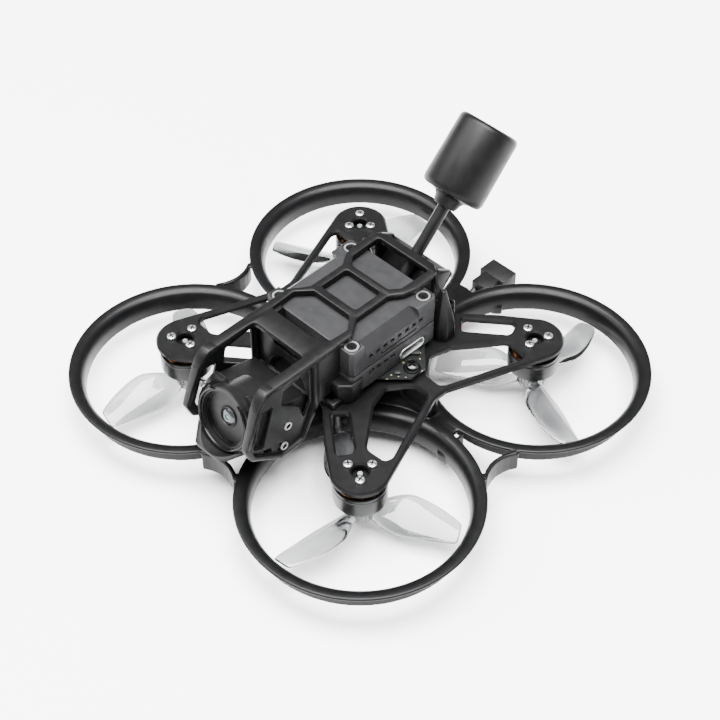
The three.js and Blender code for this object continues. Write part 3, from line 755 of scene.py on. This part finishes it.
def motor_deck():
    """The spider plate, with its eased edge and windows, and the two posts at its rear."""
    boss = arc(MOTOR, MOTOR, 7.4, range(-18, 118, 9))
    quarter = [(28.3, 0), (28.35, 2.2), *boss, (19.1, 31.5), (9.5, 22.8), (0, 22.8)]
    half = [(x, -y) for x, y in reversed(quarter)][1:-1] + [(28.3, 0)] + quarter[1:-1]
    side_window = [(17.1, 8), (20.2, 3.6), (21.4, 2.5), (25.7, 2.2), (26.9, 3.7), (34.3, 23.2),
                   (33.8, 25.4), (28.6, 25.7), (27.3, 25), (18.8, 14)]
    end_window = [(13.5, 23.8), (23.8, 32), (25.3, 31.7), (26.3, 29), (25.9, 27.8), (16.6, 20.4)]
    outlines = [rounded(mirrored(half), 3.0)]
    for x, y in CORNERS.values():
        outlines.append([(px * x, py * y) for px, py in rounded(side_window, 1.8)])
        outlines.append([(px * x, py * y) for px, py in rounded(end_window, 1.0)])
        outlines.append(circle(MOTOR * x, MOTOR * y, 2.1))
    post = lathe([(0, DECK_TOP - 1), (1.75, DECK_TOP - 1), (1.7, 26.75), (1.5, 27), (1.05, 27),
                  (0.85, 26.8), (0.8, 24), (0, 24)], 40)
    posts = [placed(post, at(11 * side, 21.3)) for side in (-1, 1)]
    mesh = together(plate(outlines, DECK_TOP - 2, DECK_TOP, 0.5), *posts)
    piece("spider_deck", mesh, DECK, nodes=["motor_deck"], sharp=25)


motor_deck()


# ---- Screws ----
def cross(reach, width, low, high):
    """Two crossed bars, from low to high."""
    return (block((-reach, -width, low), (reach, width, high)),
            block((-width, -reach, low), (width, reach, high)))


def cross_head(radius, height):
    """A domed pan head with a cross recess, standing on z = 0."""
    profile = [(0, 0), (radius * 0.97, 0), (radius, height * 0.15), (radius, height * 0.5),
               (radius * 0.93, height * 0.75), (radius * 0.72, height * 0.93), (0, height)]
    head = lathe(profile, 40)
    for arm in cross(radius * 0.72, radius * 0.15, height * 0.3, height + 1):
        head = cut(head, arm)
    return head


def cross_floor(radius, height):
    """The floor of that recess, which is given the painted shade material."""
    return together(*cross(radius * 0.71, radius * 0.14, height * 0.25, height * 0.5))


def ring_head(radius, height):
    """The bright outer ring of a flat head, standing on z = 0."""
    inner = radius * 0.66
    return lathe([(inner, 0), (radius, 0), (radius, height * 0.8), (radius * 0.95, height),
                  (inner * 1.06, height), (inner, height * 0.8), (inner, 0)], 48)


def ring_floor(radius, height):
    """The middle of a flat head, with a raised driver cross, which is given the painted shade material.
    """
    inner = radius * 0.67
    return together(rod(inner, 0, height * 0.72, 40),
                    *cross(inner * 0.8, inner * 0.14, height * 0.5, height * 0.84))


def screw(name, head, floor, place, metal=STEEL, body="airframe", nodes=()):
    """A screw's bright head and its recess in painted shade, moved to their place."""
    piece(name, placed(head, place), metal, body, nodes, sharp=28)
    # The recess floor is drawn in painted shade, the shade inside the head.
    piece(f"{name}_recess", placed(floor, place), PAINTED_SHADE, body)


SCREW_CIRCLE = 3.35
PAN_HEAD = cross_head(1.22, 0.9)
PAN_FLOOR = cross_floor(1.22, 0.9)


def motor_screws(corner, x, y):
    """Three pan heads round the motor's axis, one of them on the outward diagonal."""
    outward = math.degrees(math.atan2(y, x))
    angles = [outward, outward + 120, outward + 240]
    for i, (screw_x, screw_y) in enumerate(arc(MOTOR * x, MOTOR * y, SCREW_CIRCLE, angles)):
        place = at(screw_x, screw_y, DECK_TOP) @ turned(math.degrees(0.35 * i + 0.2 * x))
        screw(f"motor_screw_{corner}_{i + 1}", PAN_HEAD, PAN_FLOOR, place)


for corner, (x, y) in CORNERS.items():
    motor_screws(corner, x, y)


# ---- Motors and propellers ----
BELL_SHAPE = lathe([
    (1.05, 6.6), (2.2, 6.6), (2.4, 6.8), (2.4, 11.2), (2.6, 11.35), (5.3, 11.35), (6.1, 11.6),
    (6.6, 12.1), (6.75, 12.8), (6.75, 16.5), (6.55, 16.62), (6.55, 16.8), (6.75, 16.92), (6.75, 17.7),
    (6.6, 17.9), (6.15, 17.9), (6.15, 12.6), (1.05, 12.6), (1.05, 6.6),
], 128)
BASE_SHAPE = lathe([
    (1.05, 13.2), (2.0, 13.2), (2.0, 18.0), (5.3, 18.15), (5.7, 18.3), (5.7, 19.0), (5.5, 19.2),
    (1.05, 19.2), (1.05, 13.2),
], 96)
SHAFT_SHAPE = lathe([(0, 5.8), (0.6, 5.8), (0.75, 5.95), (0.75, 20.3), (0.6, 20.5), (0, 20.5)], 32)
COILS = 9


def windings():
    """Nine wound teeth round the stator's core."""
    meshes = [lathe([(2.3, 13.6), (3.3, 13.6), (3.3, 17.5), (2.3, 17.5), (2.3, 13.6)], 48)]
    for i in range(COILS):
        coil = block((3.0, -0.95, 13.7), (5.3, 0.95, 17.6), 0.55, 3)
        shoe = block((5.2, -1.5, 14.1), (5.6, 1.5, 17.2), 0.12)
        turn = turned(360 * i / COILS)
        meshes += [placed(coil, turn), placed(shoe, turn)]
    return together(*meshes)


WINDINGS = windings()
PROPS = {  # each propeller's angle at rest and its hand
    "front_left": (-89.5, 1), "front_right": (-101, -1), "rear_left": (-30, -1), "rear_right": (-26, 1),
}
PROP_PLANE = 7.2
BLADE = [  # radius, chord, pitch in degrees, thickness and sweep
    (2.9, 4.0, 32, 1.6, 0.0), (4.2, 5.6, 31, 1.4, 0.2), (6, 7.6, 30, 1.2, 0.3),
    (8.2, 9.6, 28, 1.05, 0.5), (10.5, 11, 25, 0.95, 0.7), (12.5, 11.2, 23, 0.9, 0.7),
    (15, 10.6, 20, 0.85, 0.5), (18.5, 9.3, 17, 0.8, 0.0), (21.5, 8.0, 15, 0.72, -0.7),
    (23.8, 6.7, 13, 0.62, -1.3), (24.9, 5.6, 12, 0.5, -1.6), (25.3, 4.6, 12, 0.42, -1.7),
]


def blade(turn):
    """One blade along +X: twisted aerofoil sections, wide from the root and square at the tip."""
    around = 18
    sections = []
    for radius, chord, pitch, thick, sweep in BLADE:
        tilt = math.radians(pitch) * turn
        section = []
        for i in range(around):
            angle = 2 * math.pi * i / around
            along = 0.5 * math.cos(angle) * chord
            across = 0.5 * math.sin(angle) * thick * (1.15 - 0.3 * math.cos(angle))
            across += 0.06 * chord * (1 - (2 * along / chord) ** 2)
            y = along * math.cos(tilt) - across * math.sin(tilt) + sweep * turn
            z = along * math.sin(tilt) + across * math.cos(tilt)
            section.append((radius, y, z + PROP_PLANE))
        sections.append(section)
    return modified(loft(sections), ("SUBSURF", {"levels": 1, "render_levels": 1}))


def propeller(turn, phase):
    """Three blades on a ribbed, cupped hub."""
    hub = lathe([
        (1.05, 5.5), (2.6, 5.5), (3.5, 5.8), (3.7, 6.3), (3.7, 10.5), (3.5, 10.9), (2.75, 10.9),
        (2.6, 10.6), (2.6, 6.4), (1.05, 6.4), (1.05, 5.5),
    ], 72)
    meshes = [hub]
    for i in range(3):
        spoke = turned(phase + 120 * i)
        meshes.append(placed(blade(turn), spoke))
        for j in range(4):
            rib = block((3.4, -0.3, 6.6), (4.05, 0.3, 10.6), 0.12)
            meshes.append(placed(rib, spoke @ turned(37 + 16 * j)))
    return together(*meshes)


def motor(corner, x, y):
    place = at(MOTOR * x, MOTOR * y)
    rotor = f"rotor_{corner}"
    phase, turn = PROPS[corner]
    piece(f"stator_base_{corner}", placed(BASE_SHAPE, place), BELL,
          nodes=[f"motor_base_{corner}"])
    piece(f"coils_{corner}", placed(WINDINGS, place), COPPER, nodes=[f"windings_{corner}"])
    piece(f"bell_{corner}", placed(BELL_SHAPE, place), BELL, rotor,
          [f"motor_bell_{corner}"])
    piece(f"shaft_{corner}", placed(SHAFT_SHAPE, place), STEEL, rotor,
          [f"motor_shaft_{corner}"])
    piece(f"three_blade_{corner}", placed(propeller(turn, phase), place), CLEAR,
          rotor, [f"propeller_{corner}"], sharp=40)


for corner, (x, y) in CORNERS.items():
    motor(corner, x, y)


# ---- Flight controller ----
def flight_controller():
    """The diamond board on its dampers, with a few packages round its edge."""
    top = extent("flight_controller")[1].z
    piece("controller_board", softened("flight_controller", 0.08, 1), BOARD,
          nodes=["flight_controller"])
    chips = [(15.6, 4.2, 2.2, 1.4, 0.8), (13.2, 7.4, 3.0, 2.0, 0.7), (17.2, -4.0, 1.5, 1.1, 0.6),
             (12.6, -8.0, 2.8, 2.2, 0.7), (4.5, -16.2, 2.4, 1.8, 0.7), (-4.8, -15.6, 1.7, 1.2, 0.6)]
    meshes = []
    for x, y, width, depth, height in chips:
        chip = block((-width / 2, -depth / 2, 0), (width / 2, depth / 2, height), 0.1)
        meshes += [placed(chip, at(side * x, side * y, top) @ turned(45)) for side in (-1, 1)]
    piece("controller_chips", together(*meshes), CHIP)
    for place in ("left", "right", "front", "rear"):
        low, high = extent(f"board_damper_{place}")
        x, y, _ = (low + high) / 2
        damper = lathe([(0, 0), (1.7, 0), (1.9, 0.2), (1.9, 0.7), (1.6, 0.9), (1.6, 1.3), (1.9, 1.5),
                        (1.9, 1.9), (1.7, high.z - low.z), (0, high.z - low.z)], 40)
        piece(f"damper_{place}", placed(damper, at(x, y, low.z)), DAMPER,
              nodes=[f"board_damper_{place}"])
        seat = at(x, y, extent(f"board_screw_{place}")[0].z)
        screw(f"controller_screw_{place}", cross_head(1.6, 1.0), cross_floor(1.6, 1.0), seat,
              DARK_STEEL, nodes=[f"board_screw_{place}"])


flight_controller()


# ---- Video unit ----
VTX_LOW, VTX_HIGH = extent("vtx_housing")
VENT_PITCH = 2.53


def vtx_outline():
    """The video unit's plan, with its corners cut off and eased."""
    x, front, rear = VTX_HIGH.x, VTX_LOW.y, VTX_HIGH.y
    half = [(x - 0.9, front), (x, front + 0.9), (x, rear - 0.9), (x - 0.9, rear)]
    return rounded(mirrored(half), 0.3, 3)


def vent(y, z, length=1.35, height=1.05):
    """A cutter for one vent in the +X side face."""
    return block((VTX_HIGH.x - 1.3, y - length / 2, z - height / 2),
                 (VTX_HIGH.x + 1, y + length / 2, z + height / 2), 0.2, 2)


def slot_tool(y, z, length, height, x0, x1):
    """A round-ended slot's cutter, along Y, from x0 to x1."""
    radius, run = height / 2, (length - height) / 2
    rear = arc(y + run, z, radius, range(-90, 91, 18))
    front = arc(y - run, z, radius, range(90, 271, 18))
    return side_plate([rear + front], x0, x1, 0.0005)


def video_housing():
    """The lower tub: vents, the socket's slot and the button's hole in both side faces."""
    _, y, z = centre("usb_port")
    tools = [slot_tool(y, z, 9.5, 3.7, 13.2, 17)]
    for i in range(3):
        tools += both_sides(vent(-8.7 + i * VENT_PITCH, 28.3))
    _, y, z = centre("link_button")
    button = rod(1.0, 0, 4)
    tools.append(placed(button, at(13, y, z) @ turned(90, "Y")))
    body = plate([vtx_outline()], VTX_LOW.z, VTX_HIGH.z, 0.25, 2)
    mesh = cut(body, together(*tools))
    piece("video_housing", mesh, ALUMINIUM, nodes=["vtx_housing"], sharp=28)


def video_cover():
    """The upper shell: a chamfered flank, a row of vents, a long slot and four screw seats."""
    low, high = extent("vtx_cover")
    upper = [(x, y, z) for x, z in ((12.7, high.z + 0.01), (12.7, high.z + 2), (17, high.z + 2))
             for y in (-13.4, 4.2)]
    lower = [(x, y, 35.2) for x in (15.6, 17) for y in (-13.9, 5.8)]
    flank = hull(upper + lower)
    tools = both_sides(flank)
    for i in range(8):
        tools += both_sides(vent(-11.5 + i * VENT_PITCH, 33.9))
    tools += both_sides(vent(-1.7, 32.05, 12.6, 0.5))
    for corner in CORNERS:
        x, y, _ = centre(f"vtx_screw_{corner}")
        floor_z = extent(f"vtx_screw_{corner}")[0].z - 0.2
        seat = rod(2.15, 0, 3, 48)
        tools.append(placed(seat, at(x, y, floor_z)))
    body = plate([vtx_outline()], low.z, high.z, 0.25, 2)
    mesh = cut(body, together(*tools))
    piece("video_cover", mesh, ALUMINIUM, nodes=["vtx_cover"], sharp=28)


def video_unit():
    video_housing()
    video_cover()
    piece("video_board", softened("vtx_board", 0.08, 1), BOARD, nodes=["vtx_board"])
    piece("usb_shell", softened("usb_port", 0.12), STEEL, nodes=["usb_port"])
    _, y, z = centre("usb_port")
    front = extent("usb_port")[1].x
    tongue = block((12.7, y - 3.1, z - 0.32), (front - 0.9, y + 3.1, z + 0.32), 0.12)
    piece("usb_tongue", tongue, CHIP)
    piece("button_cap", softened("link_button", 0.15), DAMPER, "button", ["link_button"])
    for corner in CORNERS:
        low, high = extent(f"vtx_screw_{corner}")
        x, y, _ = (low + high) / 2
        height = high.z - low.z
        screw(f"cover_screw_{corner}", ring_head(1.95, height), ring_floor(1.95, height),
              at(x, y, low.z) @ turned(math.degrees(0.4)), nodes=[f"vtx_screw_{corner}"])
    for side, x in (("right", -6.9), ("left", -1.9)):
        socket = lathe([(0, 28), (1.5, 28), (1.5, 34), (1.3, 34.2), (0.7, 34.2), (0.7, 33), (0, 33)], 40)
        piece(f"antenna_socket_{side}", placed(socket, at(x, 13.8)), DARK_STEEL)


video_unit()


# ---- Bracket ----
FRAME_BOTTOM, FRAME_TOP = 38.7, 40.5
CAGE_INNER, CAGE_WEB, CAGE_OUTER = 9.8, 10.6, 11.5  # the cage side's faces, along X


def top_frame():
    """The flat frame over the video unit, with its two rails over the camera."""
    half = [(8.6, -27.7), (8.6, -41.6), (CAGE_OUTER, -41.6), (CAGE_OUTER, -14.2), (8.1, -9.3),
            (8.1, 1.8), (10.4, 5.2), (11.1, 8.5), (10.9, 16.3), (8.4, 18.2)]
    radii = [1.2, 0.4, 0.4, 1.8, 1.4, 1.4, 2, 1.5, 1.2, 0.8]
    outline = rounded(mirrored(half), radii + radii[::-1])
    windows = [
        [(9.1, -21.5), (9.5, -13.6), (6.2, -9.9), (-6.2, -9.9), (-9.5, -13.6), (-9.1, -21.5)],
        [(6, -7.6), (6, 1.35), (-6, 1.35), (-6, -7.6)],
        [(6.4, 3.4), (8.5, 6), (8.8, 15.6), (-8.8, 15.6), (-8.5, 6), (-6.4, 3.4)],
    ]
    holes = [rounded(window, 1.0) for window in windows]
    return plate([outline, *holes], FRAME_BOTTOM, FRAME_TOP, 0.3, 2)


def cage_nose():
    """The cage's front rim, one band with the rail above it: as wide as the rail at its top."""
    path = [(8.57, (-39.6, 40.53), (-39.6, 38.67)), (8.57, (-42.2, 40.47), (-41.6, 38.67)),
            (8.7, (-43.4, 39.8), (-42.3, 38.4)), (8.9, (-45.0, 37.9), (-43.6, 36.9)),
            (9.1, (-46.0, 36.0), (-44.5, 35.4)), (9.5, (-47.8, 31.2), (-46.3, 30.7)),
            (9.8, (-49.85, 25.5), (-48.3, 25.3))]
    sections = [[(inner, *out), (CAGE_OUTER, *out), (CAGE_OUTER, *back), (inner, *back)]
                for inner, out, back in path]
    return broken(loft(sections), 0.35)


def cage_side():
    """The +X side of the camera's cage: a rounded rim round a thinner, windowed web."""
    rim = [(-25.5, 40.45), (-42, 40.45), (-45.8, 36.5), (-49.9, 25.5), (-48.2, 21.2), (-38.5, 14.7),
           (-30.9, 15.4), (-25.5, 24.4)]
    recess = [(-27, 38.9), (-41.4, 38.9), (-44.5, 35.8), (-48.2, 25.4), (-46.8, 21.9), (-38.3, 15.9),
              (-31.6, 16.4), (-27, 25)]
    edge = [((a + c) / 2, (b + d) / 2) for (a, b), (c, d) in zip(rim, recess)]
    front_window = [(-43.7, 34), (-39.4, 33.6), (-43.4, 21.6), (-46.5, 23.3), (-47, 25.4)]
    rear_window = [(-36.2, 36.2), (-27.8, 37.2), (-27.8, 26.2), (-30.2, 22.1), (-31.2, 27.2),
                   (-37.2, 32)]
    _, y, z = Vector(JOINTS["camera_tilt"]["pos_m"]) / MM
    swing = [TILT - 90 + angle for angle in (-18, -9, 0, 9, 18)]
    slot = arc(y, z, 7.25, swing) + arc(y, z, 5.15, swing[::-1])
    holes = [rounded(front_window, 0.8), rounded(rear_window, 0.6), rounded(slot, 0.5),
             circle(y, z, 1.05, 32)]
    web = side_plate([rounded(edge, 1.6), *holes], CAGE_INNER + 0.05, CAGE_WEB, 0.12)
    band = side_plate([rounded(rim, 2.2), rounded(recess, 1.5)], CAGE_INNER, CAGE_OUTER, 0.3, 2)
    keyhole = rounded([(-44.0, 20.9), (-41.2, 20.2), (-40.8, 18.6), (-42.8, 18.9)], 0.5)
    return together(cut(web, side_plate([keyhole], 9, 12, 0.001)), band, cage_nose())


def rear_wall():
    """The wall behind the camera, with an arch for its cable and a slot above."""
    outer = CAGE_OUTER - 0.2
    edge = [(-outer, 25), (-outer, 40), (outer, 40), (outer, 25)]
    arch = arc(0, 25, 6.5, [180 * i / 14 for i in range(15)])
    opening = rounded([(-4, 34.4), (4, 34.4), (4, 36.8), (-4, 36.8)], 0.6)
    return front_plate([edge + arch, opening], -25.6, -23.8, 0.15)


def bracket_legs():
    """The feet that stand on the deck: eight-sided cups in front and tapered columns behind."""
    cup = tapered(11.6, -16.8, 8, [(3.5, 21.6), (3.8, 22.1), (4.9, 28.4), (4.6, 28.9)])
    hole = placed(rod(1.1, 0, 4), at(11, -21, 20.5))
    toe = cut(block((8.5, -23, 21.6), (13.6, -16, 23.4), 0.4), hole)
    column = tapered(13.9, 15.9, 8, [(3.3, 21.6), (3.5, 22.2), (3.3, 26.5), (0.7, 36.4), (0.5, 36.6)])
    gap = 0.1
    room = block((-VTX_HIGH.x - gap, VTX_LOW.y - gap, VTX_LOW.z - gap),
                 (VTX_HIGH.x + gap, VTX_HIGH.y + gap, 60))
    return [broken(cut(cup, room), 0.3), toe, broken(cut(column, room), 0.35)]


def bracket():
    """The whole bracket: frame, cage, wall, legs and the antenna's holder."""
    corner_web = block((8, -25.4, 25.2), (CAGE_OUTER - 0.2, VTX_LOW.y - 0.3, 39.4), 0.3)
    gusset = hull([(9.2, 16.9, 40.2), (10.8, 15.6, 40.2), (10.7, 21.9, 37), (9.6, 21.9, 37),
                   (13.4, 15.4, 36), (12.6, 14.4, 36), (10.2, 20.9, 34.8), (9.6, 16.6, 37)])
    flange = hull([(x, y, z) for x in (-10.6, 10.6)
                   for y, z in ((16.7, 31), (22.2, 36.6), (22.9, 35.9), (17.4, 30.3))])
    holder = side_plate([rounded([(15.8, 40), (17.8, 40), (22.3, 37.1), (22.3, 35.9), (17.3, 30.9),
                                  (15.8, 30.9)], 0.5)], 9.4, 10.5, 0.2)
    collar = lathe([(1.7, 0), (2.7, 0), (2.7, 2.6), (2.5, 2.9), (1.7, 2.9), (1.7, 0)], 48)
    seat = at(0, 20.2, 34) @ turned(-45, "X")
    parts = [top_frame(), rear_wall(), broken(flange, 0.25), placed(collar, seat)]
    for part in (cage_side(), corner_web, broken(gusset, 0.3), holder, *bracket_legs()):
        parts += both_sides(part)
    piece("bracket_shell", together(*parts), BRACKET, nodes=["bracket"], sharp=28)


bracket()


# ---- Camera head ----
HEAD = Matrix.Translation(JOINTS["camera_tilt"]["pos_m"]) @ turned(TILT, "X")
FORWARD = turned(90, "X")  # turns a lathe's +Z to face the front, -Y
LENS_FRONT = -11.86


def facing(mesh, ahead):
    """A lathe's mesh set to face the camera's front, ahead millimetres before its tilt axis."""
    return placed(mesh, HEAD @ at(0, ahead) @ FORWARD)


def face_outline():
    """The head's front outline in (x, height), with its ears and its pointed chin."""
    half = [(4.2, -9.7), (9.3, -4.8), (9.3, 5.2), (7.6, 8.3), (4, 8.3), (3, 7)]
    return rounded(mirrored(half), 0.5)


def chin():
    """The eight-sided visor under the lens: it juts out further toward its lower edge."""
    reach = LENS_FRONT - 2.8
    mesh = front_plate([face_outline()], reach, -9.1, 0.001)
    bore = placed(rod(9.0, 9.4, 20, 96), FORWARD)
    above = ((reach, -8.9), (LENS_FRONT + 0.2, -4.6), (-9.3, -4.0), (-9.3, 20), (-30, 20), (-30, -8.9))
    slope = hull([(x, y, z) for x in (-20, 20) for y, z in above])
    return placed(broken(cut(cut(mesh, bore), slope), 0.3), HEAD)


def lens():
    """The hooded ring, its stepped barrel, the flat front glass and the domed element behind it."""
    hood = lathe([(7.6, -2.6), (7.6, -0.2), (7.8, 0.2), (8.15, 0.4), (8.45, 0.25), (8.6, -0.3),
                  (8.95, -0.35), (9.3, -0.6), (9.4, -1.1), (9.4, -2.1), (9.0, -2.6), (7.6, -2.6)], 128)
    flat = placed(block((-12, -20, 6.5), (12, 0, 12)), HEAD)
    ring = cut(facing(hood, LENS_FRONT), flat)
    piece("hood_ring", ring, HOOD, "camera", ["lens_ring"])
    steps = lathe([(7.65, -0.7), (7.35, -0.7), (7.3, -1.4), (7.0, -1.4), (6.95, -2.0), (6.65, -2.0),
                   (6.6, -3.4), (7.65, -3.4), (7.65, -0.7)], 96)
    piece("lens_barrel", facing(steps, LENS_FRONT), HOOD, "camera")
    window = rounded([(5.2, -4.6), (6.2, -2.2), (6.2, 3.6), (4.6, 5.6), (-4.6, 5.6), (-6.2, 3.6),
                      (-6.2, -0.6), (-5.0, -2.2), (-5.2, -4.4), (-2.4, -5.9), (3.4, -5.9)], 0.7)
    # A dark disc in painted shade behind the glass, standing in for the shade inside the lens.
    mask = lathe([(0, -3.6), (6.9, -3.6), (6.9, -3.3), (0, -3.3)], 96)
    piece("lens_shade_disc", facing(mask, LENS_FRONT), PAINTED_SHADE, "camera")
    # The glass's grey colour is a painted reflection.
    glass = placed(front_plate([window], LENS_FRONT + 2.3, LENS_FRONT + 2.9, 0.15), HEAD)
    piece("front_element", glass, GLASS_WITH_PAINTED_REFLECTION, "camera", ["lens_glass"], sharp=28)
    rim = lathe([(2.3, -2.4), (2.75, -2.4), (2.75, -2.0), (2.6, -1.85), (2.4, -1.85), (2.3, -2.0),
                 (2.3, -2.4)], 72)
    piece("element_rim", facing(rim, LENS_FRONT), CAMERA_SHELL, "camera")
    dome = [(2.28 * math.sin(a), -2.4 + 0.9 * math.cos(a))
            for a in [math.pi / 2 * (1 - i / 12) for i in range(9)]]
    core = lathe([(0.7, -2.4), *dome, (0.7, -1.7), (0.7, -2.4)], 96)
    piece("inner_element", facing(core, LENS_FRONT), CORE, "camera")
    # The pupil's green colour is a painted glint.
    pupil = lathe([(0, -2.4), (0.69, -2.4), (0.69, -1.9), (0.6, -1.8), (0.4, -1.72), (0.2, -1.68),
                   (0, -1.66)], 64)
    piece("inner_pupil", facing(pupil, LENS_FRONT), PUPIL_PAINTED_GLINT, "camera")


def camera_screws():
    """Two flat heads in each side of the cage."""
    for level in ("upper", "lower"):
        for side, sign in (("left", 1), ("right", -1)):
            node = f"camera_screw_{level}_{side}"
            _, y, z = centre(node)
            shank = rod(0.6, -2.2, 0.1, 24)
            screw(f"cage_screw_{level}_{side}", ring_head(1.15, 0.4),
                  together(ring_floor(1.15, 0.4), shank), at(10.7 * sign, y, z) @ turned(90 * sign, "Y"),
                  body="camera", nodes=[node])


def camera_head():
    rear = placed(block((-9.2, -8.6, -6.6), (9.2, 6.4, 6.1), 0.45, 3), HEAD)
    hump = facing(lathe([(0, -8.4), (7.4, -8.4), (7.85, -7.9), (7.85, 0), (0, 0)], 96), -9.6)
    face = placed(plate([face_outline()], 7.8, 9.25, 0.3, 2), HEAD @ FORWARD)
    collar = facing(lathe([(7.3, 0), (8.5, 0), (8.5, 2.2), (8.2, 2.45), (7.3, 2.45), (7.3, 0)], 96), -9.1)
    fins = [placed(block((-7, 6.2, z), (7, 6.9, z + 0.6), 0.15), HEAD)
            for z in (-4.5, -2.9, -1.3, 0.3, 1.9)]
    piece("camera_shell", together(rear, hump, face, collar, chin(), *fins), CAMERA_SHELL,
          "camera", ["camera_body"])
    lens()
    camera_screws()


camera_head()


# ---- Antenna ----
def antenna():
    """A rubber whip with a round-edged head, leaning back at 45 degrees."""
    low, high = extent("antenna_stem")
    reach = high.x * math.sin(math.pi / 4)
    lean = at(0, low.y + reach, low.z + reach) @ turned(-45, "X")
    stem = rod(1.65, 0, 21.6, 48)
    piece("whip_stem", placed(stem, lean), RUBBER, nodes=["antenna_stem"])
    neck, top = 20.3, 43.9
    profile = [(0, neck), (2.3, neck), (2.9, neck + 0.1), (3.3, neck + 0.9), (3.6, neck + 2.0),
               (4.2, neck + 2.9), (5.6, neck + 3.3), (7.2, neck + 3.4), (7.9, neck + 3.65),
               (8.35, neck + 4.3), (8.5, neck + 5.2), (8.25, top - 1.4), (8.05, top - 0.7),
               (7.55, top - 0.2), (6.8, top), (0, top)]
    piece("whip_head", placed(lathe(profile, 128), lean), RUBBER, nodes=["antenna_head"])


antenna()


# ---- Stage ----
def floor():
    """A plain pale floor with a faint, even texture."""
    mesh = bpy.data.meshes.new("floor")
    size = 4.0
    mesh.from_pydata([(-size, -size, 0), (size, -size, 0), (size, size, 0), (-size, size, 0)], [],
                     [(0, 1, 2, 3)])
    graph = Graph("pale_floor")
    graph.set(
        Base_Color=graph.blend(graph.noise(60.0, 2), (0.90, 0.90, 0.905), (0.92, 0.92, 0.92)),
        Roughness=graph.spread(graph.noise(20.0), 0.55, 0.65),
    )
    mesh.materials.append(graph.material)
    obj = added("floor", mesh)


def lamp(name, place, size, power):
    """A soft square lamp aimed at the drone's middle; place is in metres."""
    data = bpy.data.lights.new(name, "AREA")
    data.size = size
    data.energy = power
    obj = added(name, data)
    obj.location = place
    aim = Vector((0, 0, 0.02)) - Vector(place)
    obj.rotation_euler = aim.to_track_quat("-Z", "Y").to_euler()


def studio():
    """A white room, a key from the drone's right front and a broad light above."""
    floor()
    world = bpy.data.worlds.new("studio")
    world.use_nodes = True
    background = world.node_tree.nodes["Background"]
    background.inputs["Color"].default_value = (1, 1, 1, 1)
    background.inputs["Strength"].default_value = 0.36
    bpy.context.scene.world = world
    lamp("key", (-0.6, -0.35, 0.9), 0.8, 26)
    lamp("ceiling", (0.1, -0.1, 1.3), 1.2, 155)


studio()
